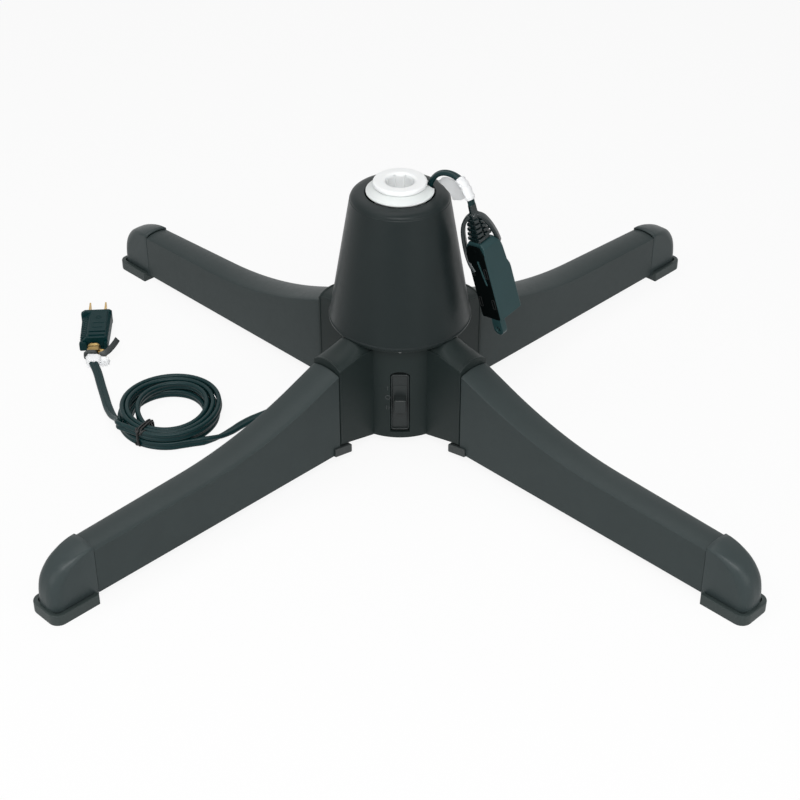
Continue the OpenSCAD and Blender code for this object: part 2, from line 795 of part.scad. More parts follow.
module gearbox_plate() {
    low = chassis_z - past;
    high = chassis_t + 2 * past;
    switch_room = 40;
    color(steel) difference() {
        translate([0, 0, chassis_z]) cylinder(r = boss_ring_r + 2.4, h = chassis_t);
        at_turns(boss_turns) translate([boss_ring_r, 0, low]) cylinder(r = boss_neck_r + fit_gap, h = high);
        translate([0, 0, low]) cylinder(r = pivot_r + run_gap, h = high);
        translate([idler_pos[0], idler_pos[1], low]) cylinder(r = pin_r, h = high);
        translate([pinion_pos[0], pinion_pos[1], low]) cylinder(r = motor_shaft_r + 1.2, h = high);
        motor_screw_places() translate([0, 0, -past]) cylinder(r = motor_screw[2] + air_gap, h = high);
        translate([-switch_room / 2, switch_back + air_gap + fit_gap - switch_room, low])
            cube([switch_room, switch_room, high]);
    }
}

module motor_screw_places() {
    translate([pinion_pos[0], pinion_pos[1], chassis_z]) at_turns(motor_screw_turns)
        translate([motor_screw_ring_r, 0, 0]) children();
}

module motor_can() {
    shaft_room = 6;
    color(steel) difference() {
        translate([pinion_pos[0], pinion_pos[1], chassis_z - motor_h]) cylinder(r = motor_r, h = motor_h);
        translate([pinion_pos[0], pinion_pos[1], chassis_z - shaft_room])
            cylinder(r = motor_shaft_r + run_gap, h = shaft_room + past);
        motor_screw_places() translate([0, 0, -motor_bite - past])
            cylinder(r = motor_screw[2] + 2 * run_gap, h = motor_bite + 2 * past);
    }
}

module motor_pinion() {
    shaft_low = chassis_z - 5.5;
    color(milk) translate([pinion_pos[0], pinion_pos[1], 0]) union() {
        translate([0, 0, gear_low]) rotate([0, 0, pinion_phase]) gear(pinion_teeth);
        translate([0, 0, shaft_low]) cylinder(r = motor_shaft_r, h = gear_low + 0.5 - shaft_low);
    }
}

module motor_screws() {
    color(steel) motor_screw_places() translate([0, 0, chassis_t + motor_screw[1]]) mirror([0, 0, 1])
        screw(motor_screw, chassis_t + motor_bite);
}

// ---------- Contacts that let the outlet turn for ever ----------
module slip_ring_carrier() {
    rib_t = 2;
    color(dark) union() {
        ring(tube_r + run_gap, carrier_r, carrier_low, carrier_top);
        for (z = contact_ring_z) ring(carrier_r - 1, carrier_r + 2.6, z - rib_t - 1.5, z - 1.5);
        ring(carrier_r - 1, cord_ride_r + 3, carrier_top - rib_t, carrier_top);
    }
}

module slip_rings() {
    color(brass) for (z = contact_ring_z)
        ring(carrier_r + run_gap, carrier_r + contact_ring_t, z, z + contact_ring_h);
}

module brush_holder() {
    color(dark) rotate([0, 0, brush_turn]) difference() {
        translate([holder_r, -holder_w / 2, bridge_top])
            cube([holder_t, holder_w, carrier_top - 3 - bridge_top]);
        brush_slots(2 * run_gap);
    }
}

module brush_slots(extra) {
    for (z = contact_ring_z)
        translate([carrier_r + contact_ring_t + air_gap - extra, -brush_w / 2 - extra,
            z + brush_slack - extra])
            cube([holder_r + holder_t - carrier_r + 2 * extra, brush_w + 2 * extra,
                contact_ring_h - 2 * brush_slack + 2 * extra]);
}

module contact_brushes() {
    color(brass) rotate([0, 0, brush_turn]) intersection() {
        brush_slots(0);
        translate([0, -holder_w / 2, 0]) cube([holder_r + holder_t - 1, holder_w, carrier_top]);
    }
}

// ---------- Switch ----------
module bezel_block(inset, front, back) {
    corner = 2 - inset;
    w = bezel_w - 2 * inset;
    h = bezel_h - 2 * inset;
    translate([0, back, bezel_mid]) rotate([90, 0, 0]) linear_extrude(back - front) union() {
        square([w, h - 2 * corner], center = true);
        square([w - 2 * corner, h], center = true);
        for (x = [-1, 1]) for (z = [-1, 1])
            translate([x * (w / 2 - corner), z * (h / 2 - corner)]) circle(corner);
    }
}

module switch_body() {
    low = window_low - switch_lap;
    high = window_low + window_h + switch_lap;
    half = window_w / 2 + switch_lap;
    slot_half = stem_h / 2 + switch_step + fit_gap;
    keeper_half = keeper_h / 2 + switch_step + 1;
    color(dark) difference() {
        union() {
            translate([-half, switch_face, low]) cube([2 * half, switch_back - switch_face, high - low]);
            bezel_block(0, bezel_front, switch_face + eps);
        }
        bezel_block(bezel_rim, bezel_front - past, switch_face);
        translate([-keeper_w / 2 - 2 * fit_gap, switch_face + switch_plate_t, bezel_mid - keeper_half])
            cube([keeper_w + 4 * fit_gap, keeper_room, 2 * keeper_half]);
        translate([-stem_w / 2 - fit_gap, switch_face - past, bezel_mid - slot_half])
            cube([stem_w + 2 * fit_gap, switch_plate_t + keeper_room, 2 * slot_half]);
    }
}

module switch_slider() {
    knob_back = switch_face - air_gap;
    knob_front = -drum_r - knob_out;
    stem_len = switch_plate_t + 2 * air_gap + 1.5;
    color(dark) translate([0, 0, bezel_mid]) union() {
        translate([-knob_w / 2, knob_front, -knob_h / 2]) cube([knob_w, knob_back - knob_front, knob_h]);
        translate([-stem_w / 2, knob_back - 1, -stem_h / 2]) cube([stem_w, stem_len, stem_h]);
        translate([-keeper_w / 2, switch_face + switch_plate_t + air_gap, -keeper_h / 2])
            cube([keeper_w, keeper_t, keeper_h]);
    }
}

// ---------- Legs ----------
function crown_line(half, edge, crown) = [for (k = [0 : crown_steps])
    let (u = 2 * k / crown_steps - 1)
    [u * half, edge + crown * (1 - u * u)]];
function leg_section(r) =
    let (half = leg_half(r), low = leg_floor(r), edge = leg_edge(r),
        outside = crown_line(half, edge, leg_crown),
        inside = crown_line(half - leg_wall, edge - leg_wall, leg_crown))
    concat([[-half, low]], outside, [[half, low], [half - leg_wall, low]],
        [for (k = [crown_steps : -1 : 0]) inside[k]], [[-half + leg_wall, low]]);

module leg() {
    sides = 2 * (crown_steps + 3);
    n = len(leg_stations);
    points = [for (r = leg_stations) for (p = leg_section(r)) [r, p[0], p[1]]];
    side_faces = [for (i = [0 : n - 2]) for (k = [0 : sides - 1])
        let (a = i * sides + k, b = i * sides + (k + 1) % sides, c = b + sides, d = a + sides)
        each [[a, b, c], [a, c, d]]];
    near_face = [for (k = [0 : sides / 2 - 2])
        each [[k, sides - 1 - k, k + 1], [k + 1, sides - 1 - k, sides - 2 - k]]];
    far = (n - 1) * sides;
    far_face = [for (k = [0 : sides / 2 - 2])
        each [[far + k, far + k + 1, far + sides - 1 - k],
            [far + k + 1, far + sides - 2 - k, far + sides - 1 - k]]];
    polyhedron(points, concat(side_faces, near_face, far_face), convexity = 10);
}

module leg_at(i) {
    color(dark) rotate([0, 0, leg_turns[i]]) leg();
}

module joint_clips() {
    half = leg_w / 2 + clip_out;
    clip_end = clip_start + clip_len;
    rise = tan(clip_tilt) * clip_len;
    inner = leg_w / 2 + clip_slack;
    before = clip_start - past;
    beyond = clip_end + past;
    function arm_floor(r) = drum_low + tan(arm_rise) * (r - drum_in) - clip_slack;
    color(dark) at_turns(leg_turns) difference() {
        side_slab(half, [[clip_start, clip_low], [clip_end, clip_low + rise],
            [clip_end, clip_high + rise], [clip_start, clip_high]]);
        side_slab(inner, [[before, arm_floor(before)], [joint_r, arm_floor(joint_r)],
            [joint_r, leg_low - clip_slack], [beyond, leg_floor(beyond) - clip_slack],
            [beyond, leg_top], [before, leg_top]]);
        translate([clip_screw_r, 0, 0]) cylinder(r = pass(clip_screw), h = leg_top);
        translate([clip_screw_r, 0, 0]) cylinder(r = clip_screw[0] + fit_gap, h = clip_screw_seat);
    }
}

module leg_screws() {
    color(steel) at_turns(leg_turns) translate([clip_screw_r, 0, clip_screw_seat - clip_screw[1]])
        screw(clip_screw, clip_screw_len);
}

// ---------- Feet ----------
module cap_outline(grow, back) {
    half = leg_half(leg_end) + grow;
    end = cap_end + grow;
    translate([back, -half]) square([end - cap_corner - back, 2 * half]);
    translate([back, -half + cap_corner]) square([end - back, 2 * (half - cap_corner)]);
    for (side = [-1, 1]) translate([end - cap_corner, side * (half - cap_corner)]) circle(cap_corner);
}

// The cap's cross-section, lying down: its height runs along +X from the top
module cap_crown(half) {
    crown_r = (half * half + leg_crown * leg_crown) / (2 * leg_crown);
    translate([crown_r, 0]) circle(crown_r, $fn = 180);
    translate([leg_crown + cap_corner, -half]) square([far, 2 * half]);
}

module cap_shoulders(half) {
    for (side = [-1, 1]) translate([cap_edge_r, side * (half - cap_edge_r)]) circle(cap_edge_r);
    translate([0, -half + cap_edge_r]) square([far, 2 * (half - cap_edge_r)]);
    translate([cap_edge_r, -half]) square([far, 2 * half]);
}

module cap_block(inset) {
    half = leg_half(leg_end) - inset;
    high = cap_high - inset;
    end = cap_end - inset;
    open = inset > 0 ? past : 0;
    low = cap_low - open;
    back = cap_start - open;
    nose = nose_r - inset;
    slope = [for (i = [0 : 8]) let (a = i * cap_sweep / 8)
        [end - nose + nose * cos(a), high - cap_fall - nose + nose * sin(a)]];
    intersection() {
        translate([0, 0, low]) linear_extrude(cap_high) cap_outline(-inset, back);
        side_slab(pad_w, concat([[back, low], [end, low]], slope, [[back, high]]));
        translate([0, 0, high]) rotate([0, 90, 0]) linear_extrude(far) cap_crown(half);
        translate([0, 0, high]) rotate([0, 90, 0]) linear_extrude(far) cap_shoulders(half);
    }
}

module end_cap() {
    color(dark) difference() {
        cap_block(0);
        cap_block(cap_wall);
    }
}

module foot_pad() {
    half = pad_w / 2;
    color(dark) difference() {
        linear_extrude(pad_h) union() {
            translate([pad_start, -half]) square([reach - pad_corner - pad_start, pad_w]);
            translate([pad_start, -half + pad_corner])
                square([reach - pad_start, pad_w - 2 * pad_corner]);
            for (side = [-1, 1]) translate([reach - pad_corner, side * (half - pad_corner)])
                circle(pad_corner);
        }
        translate([0, 0, pad_pocket]) linear_extrude(pad_h) cap_outline(air_gap, pad_start - past);
    }
}

// ---------- Supply cord ----------
module cord_relief() {
    neck_low = -drum_r - air_gap - eps;
    color(cord_green) union() {
        translate(relief_end) rotate([0, 90, 0])
            cylinder(r1 = relief_end_r, r2 = relief_r, h = relief_len - air_gap);
        translate([neck_low, 0, relief_z]) rotate([0, 90, 0])
            cylinder(r = relief_r - relief_neck, h = relief_flange_x - neck_low + eps);
        translate([relief_flange_x, 0, relief_z]) rotate([0, 90, 0])
            cylinder(r = relief_r, h = relief_flange_t);
    }
}

module flat_cord(route, rolls) {
    wide = [for (i = [0 : len(route) - 1]) flat_side(heading(route, i), rolls[i])];
    color(cord_green) ring_tube(tube_rings(route, wide, cord_w, cord_t, 8), 8);
}

coil_total = coil_loops + coil_extra;
function coil_climbed(s) =
    let (u = (s - coil_total / 2) * 2 + 0.5)
    u <= 0 ? 0 : u >= 1 ? 1 : (1 - cos(180 * u)) / 2;
function coil_point(s) =
    let (in = coil_step * min(s, coil_total - s), a = coil_first - 360 * s)
    [coil_mid[0] + (coil_half[0] - in) * cos(a), coil_mid[1] + (coil_half[1] - in) * sin(a),
        coil_low_z + coil_climb * coil_climbed(s)];
coil_rings = ceil(coil_total * 24);
coil_line = [for (i = [0 : coil_rings]) coil_point(coil_total * i / coil_rings)];
coil_in_way = unit(coil_line[1] - coil_line[0]);
coil_out_way = unit(coil_line[coil_rings] - coil_line[coil_rings - 1]);
coil_path = concat([coil_line[0] - cord_w * coil_in_way], coil_line,
    [coil_line[coil_rings] + cord_w * coil_out_way]);
coil_start = coil_path[0];
coil_finish = coil_path[len(coil_path) - 1];
lead_route = concat([relief_end, relief_end - [cord_w, 0, 0]], lead_points,
    [coil_start - cord_w * coil_in_way, coil_start]);
plug_way = [-sin(plug_turn), cos(plug_turn), 0];
plug_back = plug_pos + [0, 0, plug_t / 2];
tail_route = concat([coil_finish, coil_finish + cord_w * coil_out_way], tail_points,
    [plug_back - 2 * cord_w * plug_way, plug_back - cord_w * plug_way, plug_back]);
module supply_cord_coil() {
    wide = [for (p = coil_path) [0, 0, 1]];
    color(cord_green) ring_tube(tube_rings(coil_path, wide, cord_w, cord_t, 6), 6);
}

module supply_cord_lead() {
    flat_cord(lead_route, lead_rolls);
}

module supply_cord_tail() {
    flat_cord(tail_route, tail_rolls);
}

module cord_tie() {
    turn = -108;
    wall = 1.2;
    width = 5.2;
    slit = 0.8;
    slit_low = 2;
    inside = 5.6 + air_gap;
    bundle = coil_step * (coil_total / 2 - 1) + cord_t;
    room = bundle + inside + 0.4 + air_gap;
    high = coil_low_z + coil_climb + cord_w / 2 + 2 * air_gap;
    reach_in = cord_t / 2 - bundle;
    mid = [coil_mid[0] + (coil_half[0] + reach_in) * cos(turn),
        coil_mid[1] + (coil_half[1] + reach_in) * sin(turn)];
    color([0.05, 0.05, 0.05]) translate([mid[0], mid[1], 0]) rotate([0, 0, turn]) difference() {
        translate([-inside - wall, -width / 2, 0]) cube([room + 2 * wall, width, high + wall]);
        translate([-inside, -width, -past]) cube([room, 2 * width, high + past]);
        translate([-room, -slit / 2, slit_low]) cube([3 * room, slit, high]);
    }
}

// ---------- Plug ----------
module at_plug() {
    translate(plug_pos) rotate([0, 0, plug_turn]) children();
}

module plug_body() {
    front = plug_w / 2;
    back = plug_w_back / 2;
    skin = 0.6;
    taper = 0.3;
    corner = 2;
    waist = plug_len * 0.4;
    groove = 1.2;
    color(cord_green) at_plug() difference() {
        union() {
            translate([0, 0, skin]) linear_extrude(plug_t - 2 * skin)
                polygon([[-back + corner, 0], [back - corner, 0], [back, corner],
                    [front - taper, waist], [front, plug_len - corner], [front - corner, plug_len],
                    [corner - front, plug_len], [-front, plug_len - corner], [taper - front, waist],
                    [-back, corner]]);
            linear_extrude(plug_t)
                polygon([[-back + corner + 1, 1], [back - corner - 1, 1],
                    [front - corner, plug_len - corner - 1], [corner + 1 - front, plug_len - corner - 1]]);
        }
        for (i = [0 : 2]) translate([-front, 9 + 4 * i, plug_t - groove]) cube([plug_w, groove, 2 * groove]);
        for (side = [-1, 1]) translate([side * (front - 3.5) - groove / 2, waist + 0.8, plug_t - groove])
            cube([groove, waist + 0.8, 2 * groove]);
        blade_pair(run_gap);
    }
}

module blade_pair(extra) {
    for (side = [-1, 1])
        translate([side * blade_gap / 2 - blade_t / 2 - extra, plug_len - blade_hidden - extra,
            plug_t / 2 - blade_w / 2 - extra])
            cube([blade_t + 2 * extra, blade_hidden + blade_len + extra, blade_w + 2 * extra]);
}

module plug_blades() {
    hole_r = 1.5;
    hole_back = 4;
    color(brass) at_plug() difference() {
        blade_pair(0);
        translate([-plug_w, plug_len + blade_len - hole_back, plug_t / 2]) rotate([0, 90, 0])
            cylinder(r = hole_r, h = 2 * plug_w);
    }
}

// A band round the flat cord behind the plug
module cord_band(start, width, wall) {
    room = 0.4;
    translate([0, -start, plug_t / 2]) rotate([90, 0, 0]) linear_extrude(width) difference() {
        square([cord_w + room + 2 * wall, cord_t + room + 2 * wall], center = true);
        square([cord_w + room, cord_t + room], center = true);
    }
}

module plug_strap() {
    wall = 0.8;
    width = 3;
    start = 10.5;
    strip_len = 27;
    strip_turn = -32;
    color([0.06, 0.07, 0.06]) at_plug() union() {
        cord_band(start, width, wall);
        translate([cord_w / 2 + fit_gap + wall - eps, -start - width, plug_t / 2 - width / 2])
            rotate([0, 0, strip_turn]) cube([1, strip_len, width]);
    }
}

module cord_tag() {
    color(milk) at_plug() cord_band(4.6, 4, 0.6);
}

// ---------- Outlet ----------
module at_tap() {
    translate(tap_corner) rotate([0, -tap_lean, 0]) rotate([0, 0, tap_turn]) children();
}

function tap_world(p) =
    let (x = p[0] * cos(tap_turn) - p[1] * sin(tap_turn),
        y = p[0] * sin(tap_turn) + p[1] * cos(tap_turn))
    tap_corner + [x * cos(tap_lean) - p[2] * sin(tap_lean), y,
        x * sin(tap_lean) + p[2] * cos(tap_lean)];
tap_axis = [-sin(tap_lean), 0, cos(tap_lean)];
boot_mid = [(tap_w - boot_w_less) / 2, tap_d / 2];
tap_top = tap_world([boot_mid[0], boot_mid[1], tap_len + tap_relief]);
tap_route = concat(tap_points, [tap_top + tap_cord_w * tap_axis, tap_top]);

module tap_cord() {
    wide = [for (a = tap_sides) [cos(a), sin(a), 0]];
    color(cord_green) ring_tube(tube_rings(tap_route, wide, tap_cord_w, tap_cord_t, 8), 8);
}

module tap_body() {
    tongue_low = tongue_w / 2 - tongue_len;
    color(tap_green) at_tap() difference() {
        union() {
            translate([0, tap_d, 0]) rotate([90, 0, 0]) linear_extrude(tap_d)
                polygon([[0, 0], [tap_w, 0], [tap_w, tap_len - 2.7 * tap_chamfer],
                    [tap_w - 2, tap_len - 2.2 * tap_chamfer], [tap_w - 3, tap_len - 0.8 * tap_chamfer],
                    [tap_w - 6, tap_len], [boot_wall, tap_len], [0, tap_len - tap_chamfer]]);
            translate([0, 1, 0]) rotate([90, 0, 90]) linear_extrude(tongue_t) union() {
                translate([0, tongue_low]) square([tongue_w, tongue_len]);
                translate([tongue_w / 2, tongue_low]) circle(tongue_w / 2);
            }
        }
        translate([-past, 1 + tongue_w / 2, tongue_low]) rotate([0, 90, 0])
            cylinder(r = tongue_hole_r, h = tongue_t + 2 * past);
        tap_slots(slot_slack);
    }
}

module tap_slots(extra) {
    for (place = slot_places) for (side = [-1, 1])
        translate([-past, tap_d / 2 + side * blade_gap / 2 - slot_t / 2 - extra,
            tap_len * place - slot_w / 2 - extra])
            cube([slot_depth + past + extra, slot_t + 2 * extra, slot_w + 2 * extra]);
}

module tap_contacts() {
    contact_back = 3;
    color(brass) at_tap() intersection() {
        tap_slots(0);
        translate([contact_back, 0, 0]) cube([slot_depth - contact_back, tap_d, tap_len]);
    }
}

module tap_relief_boot() {
    wide = tap_w - boot_w_less - 2;
    deep = tap_d - 4;
    taper = 0.55;
    rib_share = 0.55;
    pitch = tap_relief / boot_ribs;
    core_less = 2 * boot_wall;
    color(cord_green) at_tap() translate([boot_mid[0], boot_mid[1], tap_len]) union() {
        for (i = [0 : boot_ribs - 1])
            let (f = 1 - taper * i / boot_ribs)
            translate([0, 0, i * pitch]) {
                linear_extrude(rib_share * pitch) square([wide * f, deep * f], center = true);
                linear_extrude(pitch + (i < boot_ribs - 1 ? fit_gap : 0))
                    square([wide * f - core_less, deep * f - core_less], center = true);
            }
    }
}

module tap_tag() {
    color(milk) translate([31.2, 0.2, sleeve_top - 4.3]) rotate([0, 0, -46]) cube([17, 0.5, 11.6]);
}

// Leads inside the drum: from the strain relief round the wall to the switch
module internal_leads() {
    lead_w = 4;
    lead_t = 2.4;
    bend_at = boss_ring_r - boss_r - 3;
    start = [relief_flange_x + relief_flange_t, 0, relief_z];
    bend = [for (a = [196 : 12 : 232]) [bend_at * cos(a), bend_at * sin(a), relief_z]];
    last = [-window_w / 2 - switch_lap, switch_back - 3, relief_z];
    route = concat([start, start + [lead_w, 0, 0]], bend, [last - [lead_w, 0, 0], last]);
    wide = [for (p = route) [0, 0, 1]];
    color([0.1, 0.1, 0.1]) ring_tube(tube_rings(route, wide, lead_w, lead_t, 8), 8);
}

base_housing();
base_plate();
base_screws();
tower_cover();
tower_screws();
bearing_deck();
deck_screws();
lower_race();
bearing_balls();
upper_race();
bush_bridge();
top_bush();
turning_sleeve();
pole_adapter();
drive_gear();
idler_gear();
idler_pin();
gearbox_plate();
motor_can();
motor_pinion();
motor_screws();
slip_ring_carrier();
slip_rings();
brush_holder();
contact_brushes();
switch_body();
switch_slider();
internal_leads();
cord_relief();
joint_clips();
leg_screws();
for (i = [0 : 3]) {
    leg_at(i);
    rotate([0, 0, leg_turns[i]]) end_cap();
    rotate([0, 0, leg_turns[i]]) foot_pad();
}
supply_cord_lead();
supply_cord_coil();
supply_cord_tail();
cord_tie();
plug_body();
plug_blades();
plug_strap();
cord_tag();
tap_cord();
tap_relief_boot();
tap_body();
tap_contacts();
tap_tag();
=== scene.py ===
# %% [markdown]
# # Looks for a rotating tree stand
# The part was built in CAD and packed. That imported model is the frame: it gives every place and size.
# Here each visible piece is made again with softer edges and its own finish, and then it is lit and
# seen from the photograph's place. Lengths in the text are millimetres, and Blender's are metres.

# %% The frame
import json
import math

import bmesh
import bpy
from mathutils import Matrix, Vector


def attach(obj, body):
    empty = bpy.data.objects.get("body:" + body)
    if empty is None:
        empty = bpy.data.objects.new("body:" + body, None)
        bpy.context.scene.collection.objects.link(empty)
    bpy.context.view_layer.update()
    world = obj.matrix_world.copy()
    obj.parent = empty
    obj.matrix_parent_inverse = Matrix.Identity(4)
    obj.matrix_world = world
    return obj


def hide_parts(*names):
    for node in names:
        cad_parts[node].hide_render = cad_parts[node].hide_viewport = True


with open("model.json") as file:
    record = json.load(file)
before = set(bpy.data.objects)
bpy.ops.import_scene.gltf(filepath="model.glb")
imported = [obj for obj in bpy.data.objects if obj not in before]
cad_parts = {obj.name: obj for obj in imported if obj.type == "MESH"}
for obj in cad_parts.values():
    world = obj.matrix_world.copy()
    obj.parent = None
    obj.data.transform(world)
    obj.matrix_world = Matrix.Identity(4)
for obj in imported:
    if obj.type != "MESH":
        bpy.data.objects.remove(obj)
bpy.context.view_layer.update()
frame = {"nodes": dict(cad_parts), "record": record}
MM = 0.001
UP = Vector((0, 0, 1))

# %% [markdown]
# ## Camera
# The stand is symmetric, so the photograph's camera can be solved from its four feet: it looks along +Y
# and down at 34.5 degrees from about 1.34 m away. An equal match with a longer lens from further away
# would flatten the feet, so the solved distance is kept.

# %% Camera
CAMERA_PLACE, LOOK_DOWN = (0, -1.0955, 0.7668), 34.53
camera_data = bpy.data.cameras.new("photo_camera")
camera_data.lens = 78.80
camera_data.sensor_width = 36
camera_data.clip_start = 0.05
camera_data.clip_end = 30
camera = bpy.data.objects.new("photo_camera", camera_data)
camera.location = CAMERA_PLACE
camera.rotation_euler = (math.radians(90 - LOOK_DOWN), 0, 0)
bpy.context.scene.collection.objects.link(camera)
bpy.context.scene.camera = camera
print("camera at", CAMERA_PLACE)

# %% [markdown]
# ## Light
# The photograph has the even light of a product studio. Here one large lamp high in front does most of
# the work, a low and a high lamp at each side show the sides of the arms and legs, and three lamps
# behind and above light the tops. Each lamp's share was first found by rendering the stand with that
# lamp alone and fitting the sum to the photograph's tones, and then changed by comparing the two.
# The backdrop is white because the world is white for camera rays, and for reflections, which would
# see the same backdrop. It adds almost nothing to the light itself.

# %% Helpers for nodes


def node_tree(owner):
    """Empties the node tree of a material or world, and returns its nodes and a function that links them."""
    owner.use_nodes = True
    tree = owner.node_tree
    tree.nodes.clear()
    return tree.nodes, tree.links.new


def put(nodes, kind, **settings):
    """Adds a node. Settings that name an input socket set its value, and others are properties."""
    node = nodes.new(kind)
    for name, value in settings.items():
        socket = name.replace("_", " ")
        found = [s for s in node.inputs if s.name.lower() == socket.lower()]
        if found:
            found[0].default_value = value
        else:
            setattr(node, name, value)
    return node


def seen_directly(nodes, link):
    """One for camera, reflected and transmitted rays, and nothing for the rays that carry light."""
    path = put(nodes, "ShaderNodeLightPath")
    total = path.outputs["Is Camera Ray"]
    for name in ("Is Glossy Ray", "Is Transmission Ray"):
        larger = put(nodes, "ShaderNodeMath", operation="MAXIMUM")
        link(total, larger.inputs[0])
        link(path.outputs[name], larger.inputs[1])
        total = larger.outputs[0]
    return total


# %% [markdown]
# ## World and lamps
# The world gives a faint even light. The lamps are broad areas round the stand, like the soft boxes of
# a studio, because the photograph's highlights are wide and have soft ends.

# %% World and lamps
AMBIENT = 0.04
LAMP_AIM = Vector((0, 0, 0.06))
world = bpy.data.worlds.new("studio")
bpy.context.scene.world = world
nodes, link = node_tree(world)
level = put(nodes, "ShaderNodeMapRange", To_Min=AMBIENT, To_Max=1.0)
around = put(nodes, "ShaderNodeBackground", Color=(1, 1, 1, 1))
out = put(nodes, "ShaderNodeOutputWorld")
link(seen_directly(nodes, link), level.inputs["Value"])
link(level.outputs[0], around.inputs["Strength"])
link(around.outputs[0], out.inputs[0])

LAMPS = [
    # name, place, size, watts
    ("front_lamp", (0, -1.4, 1.5), (1.2, 0.8), 27),
    ("right_lamp", (0.78, -1.05, 0.32), (0.9, 0.5), 3.4),
    ("left_lamp", (-0.9, -0.93, 0.32), (0.9, 0.5), 3.2),
    ("right_high_lamp", (1.0, -0.55, 1.7), (0.8, 0.6), 2.8),
    ("left_high_lamp", (-1.0, -0.55, 1.7), (0.8, 0.6), 4.6),
    ("back_lamp", (0, 1.2, 1.5), (1.2, 1.0), 1.5),
    ("top_lamp", (0, 0.7, 1.8), (0.8, 0.5), 3.5),
    ("top_left_lamp", (-0.5, 0.3, 1.85), (0.5, 0.9), 4),
]
for name, place, size, watts in LAMPS:
    lamp_data = bpy.data.lights.new(name, "AREA")
    lamp_data.shape = "RECTANGLE"
    lamp_data.size, lamp_data.size_y = size
    lamp_data.energy = watts
    lamp = bpy.data.objects.new(name, lamp_data)
    lamp.location = place
    lamp.rotation_euler = (LAMP_AIM - Vector(place)).to_track_quat("-Z", "Y").to_euler()
    bpy.context.scene.collection.objects.link(lamp)
print("lamps:", len(LAMPS))

# %% [markdown]
# ## Floor
# A plain pale floor that keeps a soft shadow. What the camera sees is partly its lit paint and partly an
# even white, so the shadow stays faint, as in the photograph.

# %% Floor
FLOOR_WHITE, FLOOR_PAINT = 0.90, (0.86, 0.86, 0.86, 1)
FLOOR_REACH, FLOOR_DROP = 6, 0.0004
floor_paint = bpy.data.materials.new("floor_paint")
nodes, link = node_tree(floor_paint)
matt = put(nodes, "ShaderNodeBsdfDiffuse", Color=FLOOR_PAINT)
glow = put(nodes, "ShaderNodeEmission", Color=(1, 1, 1, 1), Strength=1.0)
share = put(nodes, "ShaderNodeMath", operation="MULTIPLY")
share.inputs[1].default_value = FLOOR_WHITE
both = put(nodes, "ShaderNodeMixShader")
out = put(nodes, "ShaderNodeOutputMaterial")
link(seen_directly(nodes, link), share.inputs[0])
link(share.outputs[0], both.inputs[0])
link(matt.outputs[0], both.inputs[1])
link(glow.outputs[0], both.inputs[2])
link(both.outputs[0], out.inputs["Surface"])

bm = bmesh.new()
bmesh.ops.create_grid(bm, x_segments=1, y_segments=1, size=FLOOR_REACH)
floor_mesh = bpy.data.meshes.new("floor")
bm.to_mesh(floor_mesh)
bm.free()
floor_mesh.materials.append(floor_paint)
floor = bpy.data.objects.new("floor", floor_mesh)
floor.location.z = -FLOOR_DROP
bpy.context.scene.collection.objects.link(floor)

# %% [markdown]
# ## Finishes
# The stand is moulded in dark grey-green plastic with a fine grain from its mould. The grain breaks up
# the gloss, so it is bump at a scale of a fraction of a millimetre, and a slow noise varies colour and
# roughness a little, as real mouldings do. White parts are natural nylon, and cords are soft vinyl. The
# drum, arms, tower, legs and caps are that one plastic, but its tone is painted: darker on the drum, arms
# and tower as painted shade, lighter on the legs and caps as painted light.

# %% Finishes
PATCH, PATCH_DETAIL, PATCH_ROUGH = 0.03, 4.0, 0.6
SCUFF_SCALE, SCUFF_FROM, SCUFF_TO, SCUFF_PALER = 160.0, 0.62, 0.80, 2.4
MOTTLE_SCALE, MOTTLE_SPREAD = 220.0, 0.08
GLOW_COLOUR, GLOW_DEPTH = (1.0, 0.95, 0.9), 0.003
GRAIN_DEPTH = 0.25


def noise(nodes, link, where, **settings):
    """Noise on a piece's own coordinates, so that it keeps its size on every piece."""
    texture = put(nodes, "ShaderNodeTexNoise", **settings)
    link(where.outputs["Object"], texture.inputs["Vector"])
    return texture.outputs[0]


